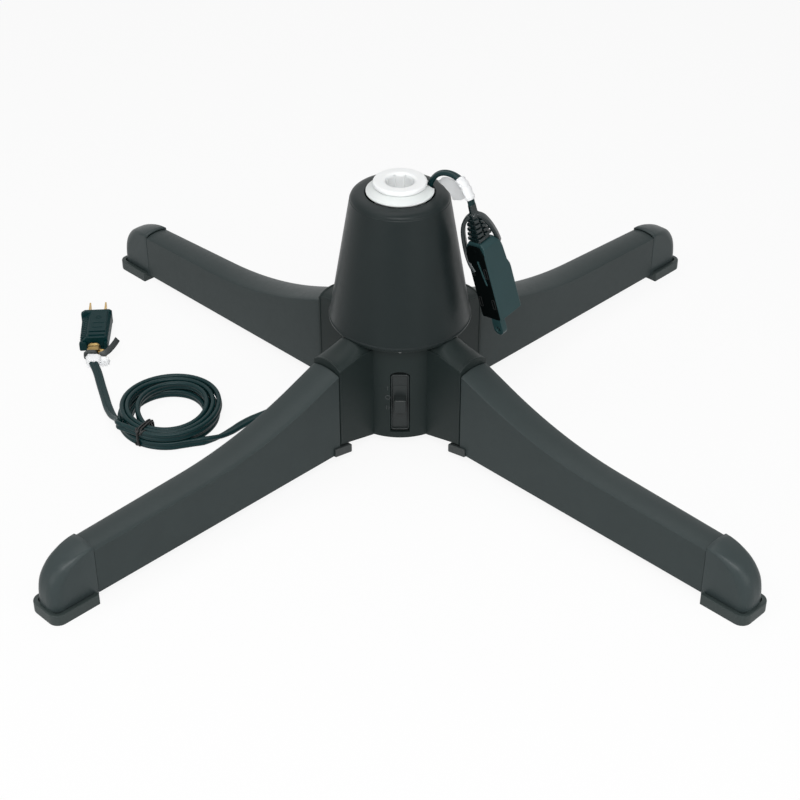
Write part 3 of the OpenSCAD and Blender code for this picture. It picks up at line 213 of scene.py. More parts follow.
def finish(
    name, colour, roughness, grain=(0.0004, 0.12), drift=0.12,
    metallic=0.0, specular=0.5, subsurface=0.0, rub=0.0,
):
    """A moulded or drawn surface. Grain is the size and strength of its bump, drift is how far its colour
    wanders, and rub lightens its scuffed places."""
    material = bpy.data.materials.new(name)
    nodes, link = node_tree(material)
    where = put(nodes, "ShaderNodeTexCoord")
    shader = put(
        nodes, "ShaderNodeBsdfPrincipled", Metallic=metallic, Specular_IOR_Level=specular,
        Subsurface_Weight=subsurface,
    )
    if subsurface:
        shader.inputs["Subsurface Radius"].default_value = GLOW_COLOUR
        shader.inputs["Subsurface Scale"].default_value = GLOW_DEPTH
    slow = noise(nodes, link, where, Scale=1 / PATCH, Detail=PATCH_DETAIL, Roughness=PATCH_ROUGH)
    tone = put(nodes, "ShaderNodeMix", data_type="RGBA")
    tone.inputs[6].default_value = (*[c * (1 - drift) for c in colour], 1)
    tone.inputs[7].default_value = (*[min(1, c * (1 + drift)) for c in colour], 1)
    link(slow, tone.inputs[0])
    colour_out = tone.outputs[2]
    if rub:
        scuffs = noise(nodes, link, where, Scale=SCUFF_SCALE, Detail=8.0, Roughness=0.75)
        few = put(nodes, "ShaderNodeMapRange", From_Min=SCUFF_FROM, From_Max=SCUFF_TO, To_Max=rub)
        lighter = put(nodes, "ShaderNodeMix", data_type="RGBA")
        lighter.inputs[7].default_value = (*[min(1, c * SCUFF_PALER + 0.01) for c in colour], 1)
        link(scuffs, few.inputs["Value"])
        link(few.outputs[0], lighter.inputs[0])
        link(colour_out, lighter.inputs[6])
        colour_out = lighter.outputs[2]
    link(colour_out, shader.inputs["Base Color"])
    ends = {"To_Min": roughness - MOTTLE_SPREAD, "To_Max": roughness + MOTTLE_SPREAD}
    rough = put(nodes, "ShaderNodeMapRange", **ends)
    link(noise(nodes, link, where, Scale=MOTTLE_SCALE, Detail=3.0), rough.inputs["Value"])
    link(rough.outputs[0], shader.inputs["Roughness"])
    bump = put(nodes, "ShaderNodeBump", Strength=grain[1], Distance=grain[0] * GRAIN_DEPTH)
    link(noise(nodes, link, where, Scale=1 / grain[0], Detail=2.0), bump.inputs["Height"])
    link(bump.outputs[0], shader.inputs["Normal"])
    out = put(nodes, "ShaderNodeOutputMaterial")
    link(shader.outputs[0], out.inputs["Surface"])
    return material


SOFT = 0.16
NYLON = {"grain": (0.0005, 0.05), "subsurface": 0.15}
FINISH_TABLE = {
    # name: colour, roughness, and what differs from a plain moulding
    # The next four are one moulding. Their tones are painted light and shade: body_black and tower_black are
    # darker, as painted shade on the drum, arms and tower, and leg_black and cap_black lighter, as painted
    # light.
    "body_black": ((0.0122, 0.0185, 0.0180), 0.44, dict(rub=0.10, specular=SOFT)),
    "leg_black": ((0.0285, 0.0382, 0.0385), 0.42, dict(rub=0.12, specular=SOFT)),
    "tower_black": ((0.0122, 0.0175, 0.0178), 0.36, dict(grain=(0.0004, 0.09), specular=0.14)),
    "cap_black": ((0.0300, 0.0412, 0.0420), 0.38, dict(rub=0.10, specular=0.20)),
    "pad_black": ((0.026, 0.036, 0.035), 0.50, dict(specular=0.3)),
    "clip_black": ((0.030, 0.036, 0.036), 0.45, dict(specular=0.3)),
    "inner_black": ((0.010, 0.012, 0.012), 0.5, dict(specular=SOFT)),
    "switch_black": ((0.015, 0.019, 0.019), 0.38, dict(specular=0.3)),
    "sleeve_white": ((0.70, 0.73, 0.72), 0.38, dict(drift=0.015, **NYLON)),
    "ring_white": ((0.86, 0.875, 0.875), 0.36, dict(drift=0.012, **NYLON)),
    "gear_white": ((0.76, 0.75, 0.68), 0.4, dict(drift=0.02)),
    "screw_steel": ((0.50, 0.50, 0.51), 0.32, dict(metallic=1.0, drift=0.05)),
    "race_steel": ((0.55, 0.55, 0.57), 0.22, dict(metallic=1.0, drift=0.04)),
    "contact_brass": ((0.50, 0.34, 0.13), 0.34, dict(grain=(0.0003, 0.06), metallic=1.0, drift=0.06)),
    "cord_green": ((0.0012, 0.0188, 0.0205), 0.40, dict(grain=(0.0006, 0.05), specular=0.20)),
    "plug_green": ((0.0003, 0.0190, 0.0210), 0.46, dict(grain=(0.0005, 0.10), specular=0.12)),
    "tap_green": ((0.0150, 0.0420, 0.0450), 0.40, dict(grain=(0.0005, 0.08), specular=0.20)),
    # Painted shade: the outlet body's plastic made much darker for its strain relief, as the shade among its
    # teeth.
    "boot_painted_shade": ((0.0022, 0.0085, 0.0095), 0.26, dict(grain=(0.0005, 0.06))),
    "foil_gold": ((0.26, 0.18, 0.07), 0.32, dict(grain=(0.0003, 0.10), metallic=1.0, drift=0.10)),
    # Painted shade: near-black and almost without gloss, for the outlet's face, which lies in deep shadow.
    "tap_face_painted_shade": ((0.0008, 0.0018, 0.0018), 0.6, dict(specular=0.03)),
    "tie_black": ((0.006, 0.007, 0.007), 0.30, dict(specular=0.3)),
    "label_white": ((0.88, 0.89, 0.90), 0.45, dict(drift=0.03)),
    "tag_white": ((0.76, 0.77, 0.78), 0.45, dict(drift=0.03)),
}
FINISHES = {}
for name, (colour, roughness, more) in FINISH_TABLE.items():
    FINISHES[name] = finish(name, colour, roughness, **more)
for node_name, cad_object in frame["nodes"].items():
    slot_name = next(s["material_slot"] for s in frame["record"]["subparts"] if s["node"] == node_name)
    cad_object.data.materials.clear()
    cad_object.data.materials.append(FINISHES[slot_name])
print("finishes:", len(FINISHES))

# %% [markdown]
# ## How a piece is made
# Most pieces here are an outline carried along the piece and reshaped at each station, or a profile
# turned about an axis. Both keep rows of faces in order, so edges can be rounded exactly where the
# real moulding is rounded. One helper does each, and one more turns a mesh into a finished piece.

# %% Helpers for meshes
WELD_PART, WELD_PIECE = 0.00001, 0.00002
RIM_EASE, BAR_SUNK = 0.3, 0.3


def carry(bm, outlines, closed=True, ends=True):
    """Draws the first outline, extrudes it to each next one, and closes both ends."""
    first = ring = [bm.verts.new(p) for p in outlines[0]]
    following = ring[1:] + ring[:1] if closed else ring[1:]
    edges = [bm.edges.new(pair) for pair in zip(ring, following)]
    for points in outlines[1:]:
        grown = bmesh.ops.extrude_edge_only(bm, edges=edges)["geom"]
        new = {v for v in grown if isinstance(v, bmesh.types.BMVert)}
        edges = [e for e in grown if isinstance(e, bmesh.types.BMEdge) and set(e.verts) <= new]
        ring = [next(e.other_vert(v) for e in v.link_edges if e.other_vert(v) in new) for v in ring]
        for v, p in zip(ring, points):
            v.co = p
    if closed and ends:
        bm.faces.new(first)
        bm.faces.new(ring)


def flat_place(v):
    """A vertex's distance from the upright axis, and its height."""
    return v.co.xy.length, v.co.z


def turn_profile(bm, profile, steps, start=0.0, sweep=360.0):
    """Turns a profile of (radius, height) about the upright axis. A part turn is closed at both ends."""
    verts = [bm.verts.new((r * MM, 0, z * MM)) for r, z in profile]
    edges = [bm.edges.new(pair) for pair in zip(verts, verts[1:] + verts[:1])]
    to_start = Matrix.Rotation(math.radians(start), 3, "Z")
    bmesh.ops.rotate(bm, verts=verts, cent=(0, 0, 0), matrix=to_start)
    whole = sweep >= 360
    made = bmesh.ops.spin(
        bm, geom=verts + edges, cent=(0, 0, 0), axis=(0, 0, 1), angle=math.radians(sweep),
        steps=steps, use_merge=whole,
    )
    if not whole:
        last = [g for g in made["geom_last"] if isinstance(g, bmesh.types.BMVert)]
        bm.faces.new(verts)
        bm.faces.new([min(last, key=lambda g: math.dist(flat_place(g), flat_place(v))) for v in verts])


def rounded(corners, segments=4):
    """A profile with its corners rounded. Each corner is (a, b, radius)."""
    points = []
    count = len(corners)
    for i, (a, b, radius) in enumerate(corners):
        here = Vector((a, b))
        before = Vector(corners[i - 1][:2]) - here
        after = Vector(corners[(i + 1) % count][:2]) - here
        if radius <= 0:
            points.append((a, b))
            continue
        half = before.angle(after) / 2
        cut = min(radius / math.tan(half), before.length * 0.49, after.length * 0.49)
        radius = cut * math.tan(half)
        middle = here + (before.normalized() + after.normalized()).normalized() * (radius / math.sin(half))
        start = here + before.normalized() * cut - middle
        end = here + after.normalized() * cut - middle
        turn = start.angle_signed(end)
        for k in range(segments + 1):
            arm = start.copy()
            arm.rotate(Matrix.Rotation(-turn * k / segments, 2))
            points.append(tuple(middle + arm))
    return points


def rectangle(left, right, low, high, corner, segments=3, upper=None):
    """A rectangle with rounded corners. Upper is the radius of its upper two, where that differs."""
    upper = corner if upper is None else upper
    corners = [(left, low, corner), (right, low, corner), (right, high, upper), (left, high, upper)]
    return rounded(corners, segments)


def circle(across, up, r, count):
    """Points round a circle."""
    turns = [math.radians(360 * k / count) for k in range(count)]
    return [(across + r * math.cos(a), up + r * math.sin(a)) for a in turns]


def cubic(t, start, leaving, end, arriving):
    """The cubic between two heights or two points that has the given slopes at its ends."""
    return (
        start * (2 * t**3 - 3 * t**2 + 1) + leaving * (t**3 - 2 * t**2 + t)
        + end * (-2 * t**3 + 3 * t**2) + arriving * (t**3 - t**2)
    )


def smooth_between(table, x):
    """The height at x on a smooth curve through the table's points."""
    for i, ((x0, y0), (x1, y1)) in enumerate(zip(table, table[1:])):
        if x <= x1 or i == len(table) - 2:
            t = min(1, max(0, (x - x0) / (x1 - x0)))
            xa, ya = table[max(0, i - 1)]
            xb, yb = table[min(len(table) - 1, i + 2)]
            leaving = (y1 - ya) / (x1 - xa) * (x1 - x0)
            arriving = (yb - y0) / (xb - x0) * (x1 - x0)
            return cubic(t, y0, leaving, y1, arriving)


def shrunk(outline, by):
    """A closed outline moved inwards by a distance."""
    turn = sum(a[0] * b[1] - b[0] * a[1] for a, b in zip(outline, outline[1:] + outline[:1]))
    sign = 1 if turn > 0 else -1
    moved = []
    for i, p in enumerate(outline):
        before = (Vector(p) - Vector(outline[i - 1])).normalized()
        after = (Vector(outline[(i + 1) % len(outline)]) - Vector(p)).normalized()
        way = (before + after).normalized()
        moved.append((p[0] - sign * way.y * by, p[1] + sign * way.x * by))
    return moved


def slab(bm, outline, low, high, soft, place):
    """A flat piece with softened rims: its outline is carried from low to high. Place gives the point
    for (a, depth, b)."""
    ease = soft * RIM_EASE
    layers = [(low, soft), (low + ease, ease), (low + soft, 0)]
    layers += [(high - soft, 0), (high - ease, ease), (high, soft)]
    carry(bm, [[Vector(place(a, depth, b)) * MM for a, b in shrunk(outline, by)] for depth, by in layers])


def loft(bm, layers, place, segments=3):
    """Rounded rectangles one after another. Each layer is (depth, width, height, corner) and, where it is
    off the axis, its middle across and up."""
    rings = []
    for depth, width, height, corner, *middle in layers:
        across, up = middle or (0, 0)
        a, b = width / 2, height / 2
        flat = rectangle(across - a, across + a, up - b, up + b, corner, segments)
        rings.append([Vector(place(x, depth, z)) * MM for x, z in flat])
    carry(bm, rings)


def bar(bm, start, end, way_up, width, rise):
    """A small rib from start to end that stands on a surface, with its top edges softened."""
    start, end, way_up = Vector(start), Vector(end), Vector(way_up).normalized()
    along = (end - start).normalized()
    side = along.cross(way_up).normalized()
    rings = []
    for height, inset in ((-BAR_SUNK, 0), (rise * 0.6, 0), (rise * 0.9, width * 0.1), (rise, width * 0.25)):
        half = side * (width / 2 - inset)
        near, far, lift = start + along * inset, end - along * inset, way_up * height
        corners = (near - half, near + half, far + half, far - half)
        rings.append([(p + lift) * MM for p in corners])
    carry(bm, rings)


def merge_in(bm, other):
    """Turns another mesh's faces outwards and adds it to this one."""
    bmesh.ops.remove_doubles(other, verts=other.verts[:], dist=WELD_PART)
    bmesh.ops.recalc_face_normals(other, faces=other.faces[:])
    mesh = bpy.data.meshes.new("part")
    other.to_mesh(mesh)
    other.free()
    bm.from_mesh(mesh)
    bpy.data.meshes.remove(mesh)


def add(bm, make, *shape):
    """Makes a part in a mesh of its own with one of the helpers, and merges it in."""
    part = bmesh.new()
    make(part, *shape)
    merge_in(bm, part)


def spin_to(bm, degrees):
    """Turns the whole mesh about the stand's axis."""
    turn = Matrix.Rotation(math.radians(degrees), 3, "Z")
    bmesh.ops.rotate(bm, verts=bm.verts[:], cent=(0, 0, 0), matrix=turn)


def piece(name, bm, body, slot, replaced=(), *, crisp, level=True, paint=None):
    """Merges doubles, turns the faces outwards, shades smooth below the crisp angle, and hands the piece
    to the frame."""
    bmesh.ops.remove_doubles(bm, verts=bm.verts[:], dist=WELD_PIECE)
    bmesh.ops.recalc_face_normals(bm, faces=bm.faces[:])
    mesh = bpy.data.meshes.new(name)
    bm.to_mesh(mesh)
    bm.free()
    mesh.polygons.foreach_set("use_smooth", [True] * len(mesh.polygons))
    mesh.set_sharp_from_angle(angle=math.radians(crisp))
    mesh.materials.append(FINISHES[paint or slot])
    made = bpy.data.objects.new(name, mesh)
    bpy.context.scene.collection.objects.link(made)
    if level:
        weighted = made.modifiers.new("even_normals", "WEIGHTED_NORMAL")
        weighted.keep_sharp = True
    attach(made, body)
    if replaced:
        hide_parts(*replaced)
    print(f"{name}: {len(mesh.polygons)} faces")
    return made


# %% [markdown]
# ## Supply cord
# A flat cord of two conductors side by side, 7.1 mm wide and 3.6 mm thick, with a groove between them.
# It leaves the drum's strain relief, drops to the floor, runs into a coil of six loops on edge and
# leaves that for the plug. Its lead and tail repeat the part's own points. The coil is a little larger
# and looser than the part's, as it is in the photograph. A curve with a bevel could show the cord, but a
# swept outline also turns from lying flat to standing on edge where the real cord does.

# %% Helpers for cords
GROOVE, GROOVE_FLOOR, HALF_STEPS = 0.28, 0.86, 14


def twin_outline(width, thick):
    """A flat twin cord's outline: (across, through) points in metres. Each half is most of a circle."""
    r = thick / 2
    off = width / 2 - r
    low = r - GROOVE * r
    stop = math.asin(low / r)
    points = []
    for side in (1, -1):
        for k in range(HALF_STEPS + 1):
            a = -math.pi + stop + (2 * math.pi - 2 * stop) * k / HALF_STEPS
            points.append((side * (off + r * math.cos(a)), side * r * math.sin(a)))
        points.append((0.0, side * low * GROOVE_FLOOR))
    return points


def heading(line, i):
    """The way a line runs at one of its points."""
    return (line[min(i + 1, len(line) - 1)] - line[max(i - 1, 0)]).normalized()


def between(values, place):
    """The value at a place between two entries of a list."""
    k = min(int(place), len(values) - 2)
    return values[k] + (values[k + 1] - values[k]) * (place - k)


def smooth_path(points, step):
    """Points about a step apart on a smooth curve through the given ones, and each one's place in them."""
    out, places = [], []
    for i in range(len(points) - 1):
        p0, p1 = points[i], points[i + 1]
        pa = points[i - 1] if i else p0 * 2 - p1
        pb = points[i + 2] if i + 2 < len(points) else p1 * 2 - p0
        d0, d1, d2 = [max(1e-9, (b - a).length) ** 0.5 for a, b in ((pa, p0), (p0, p1), (p1, pb))]
        leaving = ((p0 - pa) / d0 - (p1 - pa) / (d0 + d1) + (p1 - p0) / d1) * d1
        arriving = ((p1 - p0) / d1 - (pb - p0) / (d1 + d2) + (pb - p1) / d2) * d1
        count = max(1, round((p1 - p0).length / step))
        for k in range(count):
            out.append(cubic(k / count, p0, leaving, p1, arriving))
            places.append(i + k / count)
    return out + [points[-1]], places + [len(points) - 1.0]


def sweep_outline(bm, line, wide, outline):
    """Carries a cord's outline along a line. Wide gives the direction of its width at each point."""
    rings = []
    for i, p in enumerate(line):
        along = heading(line, i)
        across = (wide[i] - along * wide[i].dot(along)).normalized()
        through = along.cross(across)
        rings.append([p + across * a + through * b for a, b in outline])
    carry(bm, rings)


def length_of(line):
    """A line's length from end to end."""
    return sum((b - a).length for a, b in zip(line, line[1:]))


def in_metres(outline):
    """An outline in millimetres, turned into metres."""
    return [(a * MM, b * MM) for a, b in outline]


# %% [markdown]
# ## Supply cord: route
# The coil is worked out loop by loop, with loops that wander a little, as in a cord that was wound by
# hand. The lead and the tail are points read from the photograph, and one smooth line joins them.

# %% Supply cord: route
CORD_W, CORD_T, CORD_STEP = 7.1, 3.6, 0.0024
COIL_TOTAL, COIL_FIRST, COIL_STEP = 6.16, -68.0, 3.65
COIL_MID, COIL_HALF = (-174.4, -5.2), (39.2, 41.4)
COIL_LOW, COIL_CLIMB, COIL_WAVE = 3.75, 7.4, 0.7
LOOSE_MEAN, LOOSE_MORE, LOOSE_WAY, LOOSE_LEAN = 1.16, 0.17, math.radians(60), 9
STRAY_IN, STRAY_LOOPS, STRAY_WAY = 9.0, 0.9, math.radians(150)


def coil_turn(s):
    """The direction from the coil's middle to the cord after s loops."""
    return math.radians(COIL_FIRST - 360 * s)


def coil_point(s):
    """A point of the coil after s loops: inwards below, outwards again on top, and loose off the tie."""
    u = (s - COIL_TOTAL / 2) * 2 + 0.5
    climbed = 0 if u <= 0 else 1 if u >= 1 else (1 - math.cos(math.pi * u)) / 2
    a = coil_turn(s)
    loose = LOOSE_MEAN + LOOSE_MORE * math.cos(a - LOOSE_WAY)
    stray = max(0, 1 - abs(s - COIL_TOTAL / 2) / STRAY_LOOPS) ** 2 * max(0, math.cos(a - STRAY_WAY))
    inward = COIL_STEP * loose * min(s, COIL_TOTAL - s) + STRAY_IN * stray
    wave = COIL_WAVE * (1 + math.sin(2 * a + 1)) * climbed
    return Vector((
        COIL_MID[0] + (COIL_HALF[0] - inward) * math.cos(a),
        COIL_MID[1] + (COIL_HALF[1] - inward) * math.sin(a),
        COIL_LOW + COIL_CLIMB * climbed + wave,
    ))


def coil_roll(s):
    """How far the flat cord is turned from lying flat: on edge at the tie, and tipped away from it."""
    return 90 + LOOSE_LEAN * (1 + math.cos(coil_turn(s) - LOOSE_WAY)) / 2


RELIEF_END = Vector((-68.6, 0, 18))
LEAD = [Vector(p) for p in (
    (-84, 0, 14.6), (-92, -0.8, 8), (-99, -2.5, 4), (-106, -5.5, 2.4),
    (-113, -10.5, 2.2), (-120, -17.5, 2.2), (-127, -26, 2.4), (-134.5, -33.2, 2.8),
)]
LEAD_ROLLS = [0] * 8 + [10, 35, 90, 90]
TAIL = [Vector(p) for p in (
    (-212, -21.5, 8.6), (-217.5, -10, 5), (-223, 4, 3), (-228, 20, 2.4), (-233, 36, 2.4), (-238, 52, 3.6),
)]
TAIL_ROLLS = [90, 90, 60, 25] + [0] * 7
PLUG_TURN = math.radians(4.3)
PLUG_WAY = Vector((-math.sin(PLUG_TURN), math.cos(PLUG_TURN), 0))
PLUG_BACK = Vector((-245.6, 83, 5.6))
coil_rings = math.ceil(COIL_TOTAL * 24)
loops_done = [COIL_TOTAL * i / coil_rings for i in range(coil_rings + 1)]
coil = [coil_point(s) for s in loops_done]
in_way = (coil[1] - coil[0]).normalized()
out_way = (coil[-1] - coil[-2]).normalized()
coil_start = coil[0] - in_way * CORD_W
coil_finish = coil[-1] + out_way * CORD_W
lead_route = [
    RELIEF_END, RELIEF_END - Vector((CORD_W, 0, 0)), *LEAD,
    coil_start - in_way * CORD_W, coil_start,
]
tail_route = [
    coil_finish, coil_finish + out_way * CORD_W, *TAIL,
    PLUG_BACK - PLUG_WAY * 2 * CORD_W, PLUG_BACK - PLUG_WAY * CORD_W, PLUG_BACK,
]
cord_line, cord_places = smooth_path([p * MM for p in lead_route + coil + tail_route], CORD_STEP)
cord_rolls = LEAD_ROLLS + [coil_roll(s) for s in loops_done] + TAIL_ROLLS
cord_wide = []
for i, place in enumerate(cord_places):
    along = heading(cord_line, i)
    roll = math.radians(between(cord_rolls, place))
    side = along.cross(UP).normalized()
    cord_wide.append(side * math.cos(roll) + side.cross(along) * -math.sin(roll))

# %% [markdown]
# ## Supply cord: mesh
# The flat section is carried along the line, and its roll changes between the places where it lies flat
# and where it stands on edge.

# %% Supply cord: mesh
bm = bmesh.new()
sweep_outline(bm, cord_line, cord_wide, twin_outline(CORD_W * MM, CORD_T * MM))
supply_cord = piece(
    "supply_cord", bm, "stand", "cord_green",
    ["supply_cord_lead", "supply_cord_coil", "supply_cord_tail"], crisp=50, level=False,
)

# %% [markdown]
# ## The coil's tie
# A plastic-coated wire holds the coil at one place: it goes round the bundle twice and its ends are
# twisted together and stick out.

# %% Coil tie
TIE_AT, TIE_R, TIE_STEP = math.radians(-118), 0.95, 0.0007
TIE_OUT, TIE_IN, TIE_HIGH, TIE_CORNER = 2.4, -15.6, 15.4, 3.0
TIE_TURNS, TIE_PITCH, TIE_WAVER = 2, 2.4, 0.3
TWISTED_END = [(-0.6, 0.6, 1.6), (-2.4, 1.6, 2.4), (-4.6, 2.2, 1.8), (-6.2, 1.6, 0.8)]
OTHER_END = [(0, 0, 0), (-0.3, -1.0, 1.4), (-1.6, -2.0, 2.0), (-3.4, -2.4, 1.2)]
tie_foot = Vector((
    COIL_MID[0] + COIL_HALF[0] * math.cos(TIE_AT), COIL_MID[1] + COIL_HALF[1] * math.sin(TIE_AT), 0,
))
tie_out = Vector((math.cos(TIE_AT), math.sin(TIE_AT), 0))
tie_side = UP.cross(tie_out)


def from_tie(point, out, side, up):
    """A point moved away from the coil's middle, along its cord, and up."""
    return point + tie_out * out + tie_side * side + UP * up


turn_shape = rectangle(TIE_OUT, TIE_IN, TIE_R, TIE_HIGH, TIE_CORNER, 5)
turn_points = len(turn_shape)
tie_line = []
for loop in range(TIE_TURNS):
    for k, (out, up) in enumerate(turn_shape):
        shift = TIE_PITCH * (loop + k / turn_points) - TIE_PITCH
        tie_line.append(from_tie(tie_foot, out, shift + TIE_WAVER * math.sin(k * 1.3), up))
second = [from_tie(tie_line[turn_points - 2], *step) for step in OTHER_END]
twist_from = tie_line[-1]
tie_line += [from_tie(twist_from, *step) for step in TWISTED_END]
bm = bmesh.new()
for points in (tie_line, second):
    line, _ = smooth_path([p * MM for p in points], TIE_STEP)
    sideways = [abs(heading(line, i).dot(tie_side)) >= 0.8 for i in range(len(line))]
    wide = [UP if turned else tie_side + tie_out * 0.2 for turned in sideways]
    sweep_outline(bm, line, wide, in_metres(circle(0, 0, TIE_R, 10)))
coil_tie = piece("coil_tie", bm, "stand", "tie_black", ["cord_tie"], crisp=60, level=False)

# %% [markdown]
# ## Plug
# A moulded vinyl plug with two flat blades lies on the floor. It has a front flange, a raised panel off
# its middle with ribs to grip, a textured slope on its left and an open rear where the cord comes out.
# The panel and the slope are bare here.

# %% Plug body
PLUG_ACROSS = Vector((math.cos(PLUG_TURN), math.sin(PLUG_TURN), 0))
PLUG_FOOT = Vector((PLUG_BACK.x, PLUG_BACK.y, 0))
PLUG_LEN = 48.0
PLUG_BODY = [
    # forward, left, right, wing, peak, top, cheek, low
    (6.6, 10.6, 11.0, 6.6, 5.2, 12.0), (7.0, 10.9, 11.3, 7.0, 5.0, 12.5), (8.0, 11.0, 11.4, 7.4, 5.0, 12.8),
    (20, 11.2, 11.8, 7.8, 4.8, 12.9), (32, 11.4, 12.1, 8.2, 4.6, 12.9), (43.6, 11.6, 12.3, 8.6, 4.4, 12.9),
    (44.0, 11.7, 12.3, 9.0, 4.6, 12.9), (44.3, 12.2, 12.5, 11.0, 8.4, 13.3, 1.4),
    (44.8, 12.5, 12.55, 11.7, 9.4, 13.6, 1.3), (47.2, 12.5, 12.55, 11.7, 9.4, 13.6, 1.3),
    (47.8, 12.2, 12.25, 11.4, 9.2, 13.3, 1.3), (PLUG_LEN, 11.6, 11.7, 10.9, 8.9, 12.7, 1.3, 1.4),
]
REAR_BLOCKS = [
    # rear, front, width, height, middle across, middle up
    (4.6, 7.4, 6.2, 7.7, -8.4, 4.75), (4.2, 7.4, 3.2, 7.9, 9.6, 4.85), (5.0, 7.4, 14.4, 2.2, 1.2, 2.0),
]
BLOCK_EDGE = [(0, 1.2, 0.8), (0.2, 0.4, 1.0), (0.6, 0, 1.2)]
PANEL_LEFT, PANEL_RIGHT, PANEL_LOW, PANEL_TOP = -4.0, 9.3, 12.3, 13.75
PANEL_PARTS, PANEL_RIBS = ((8.8, 12.4), (14.2, 44.5)), ((27.2, 9.0), (20.4, 8.4))
OVAL_MID, OVAL_HALF = (2.6, 35.5), (2.6, 2.0)
OVAL_ROWS = ((13.6, 0), (13.95, 0), (13.95, 0.3), (13.6, 0.36))
SLOPE_LOW, SLOPE_HIGH = Vector((-11.0, 0, 8.3)), Vector((-5.2, 0, 12.45))
TICKS, TICK_FIRST, TICK_STEP, TICK_LEAN, TICK_SPREAD = 11, 11.5, 2.9, 2.2, 0.013


def at_plug(across, forward, up):
    """A point of the plug: forward is from its rear end towards its blades."""
    return PLUG_FOOT + PLUG_ACROSS * across + PLUG_WAY * forward + UP * up


def plug_plan(a, depth, b):
    """Places an outline that is seen from above the plug."""
    return at_plug(a, b, depth)


def plug_side(a, depth, b):
    """Places an outline that is seen from the plug's side."""
    return at_plug(depth, a, b)


def plug_section(left, right, wing, peak, top, cheek=2.2, low=0.9):
    """The plug's section: a slope on the left, a flat top and a small slope on the right."""
    return rounded([
        (-left, low, 1.2), (right, low, 1.2), (right, top - cheek, 1.0), (right - 2.0, top, 1.2),
        (-peak, top, 1.2), (-left, wing, 1.4),
    ], 3)


bm = bmesh.new()
add(bm, carry, [[at_plug(x, y, z) * MM for x, z in plug_section(*shape)] for y, *shape in PLUG_BODY])
for rear, front, width, height, across, up in REAR_BLOCKS:
    layers = [(rear + d, width - less, height - less, corner) for d, less, corner in BLOCK_EDGE]
    layers.append((front, width, height, BLOCK_EDGE[-1][2]))
    add(bm, loft, [(*layer, across, up) for layer in layers], at_plug)
for rear, front in PANEL_PARTS:
    add(bm, slab, rectangle(PANEL_LEFT, PANEL_RIGHT, rear, front, 0.8), PANEL_LOW, PANEL_TOP, 0.35, plug_plan)
panel_mid = (PANEL_LEFT + PANEL_RIGHT) / 2
for y, wide in PANEL_RIBS:
    ends = [at_plug(panel_mid + side * wide / 2, y, PANEL_TOP) for side in (-1, 1)]
    add(bm, bar, *ends, UP, 1.3, 0.25)
oval_mid = at_plug(*OVAL_MID, 0)
oval = []
for x, y in circle(0, 0, 1, 15):
    oval.append(at_plug(OVAL_MID[0] + OVAL_HALF[0] * x, OVAL_MID[1] + OVAL_HALF[1] * y, 0))
add(bm, carry, [[(p.lerp(oval_mid, inward) + UP * z) * MM for p in oval] for z, inward in OVAL_ROWS])
slope_out = (PLUG_ACROSS * -(SLOPE_HIGH.z - SLOPE_LOW.z) + UP * (SLOPE_HIGH.x - SLOPE_LOW.x)).normalized()
foot = SLOPE_LOW.lerp(SLOPE_HIGH, 0.04)
head = SLOPE_LOW.lerp(SLOPE_HIGH, 0.92)
for k in range(TICKS):
    y = TICK_FIRST + k * TICK_STEP
    for lean in (-TICK_LEAN, TICK_LEAN):
        start = at_plug(foot.x - y * TICK_SPREAD, y - lean, foot.z)
        add(bm, bar, start, at_plug(head.x, y + lean, head.z), slope_out, 0.8, 0.35)
plug = piece("plug_shell", bm, "stand", "plug_green", ["plug_body"], crisp=32)

# %% [markdown]
# ## Plug blades
# Two flat brass blades leave the plug's front, 12.7 mm apart. Each is a rounded outline given a
# thickness, with a low round mark near its tip where such blades have a hole.

# %% Plug blades
BLADE_OUT, BLADE_LEN, BLADE_HALF = 6.35, 17.0, 0.6
BLADE_ROOT, BLADE_LOW, BLADE_HIGH, BLADE_TIP = 47, 3.8, 10.2, 1.2
MARK_FROM, MARK_R, MARK_PROUD = 12.6, 1.9, 0.12
blade_end = PLUG_LEN + BLADE_LEN
blade_side = rounded([
    (BLADE_ROOT, BLADE_LOW, 0.1), (blade_end, BLADE_LOW, BLADE_TIP), (blade_end, BLADE_HIGH, BLADE_TIP),
    (BLADE_ROOT, BLADE_HIGH, 0.1),
])
blade_mark = circle(PLUG_LEN + MARK_FROM, (BLADE_LOW + BLADE_HIGH) / 2, MARK_R, 16)
bm = bmesh.new()
for across in (-BLADE_OUT, BLADE_OUT):
    slab(bm, blade_side, across - BLADE_HALF, across + BLADE_HALF, 0.2, plug_side)
    half = BLADE_HALF + MARK_PROUD
    slab(bm, blade_mark, across - half, across + half, 0.1, plug_side)
blades = piece("plug_blade_pair", bm, "stand", "contact_brass", ["plug_blades"], crisp=32)

# %% [markdown]
# ## Wraps behind the plug
# Round the cord behind the plug are a brass-coloured foil, a dark band whose loose end stands up to the
# right, and a bare white label. They are thin and creased, so each is a strip with uneven stations.

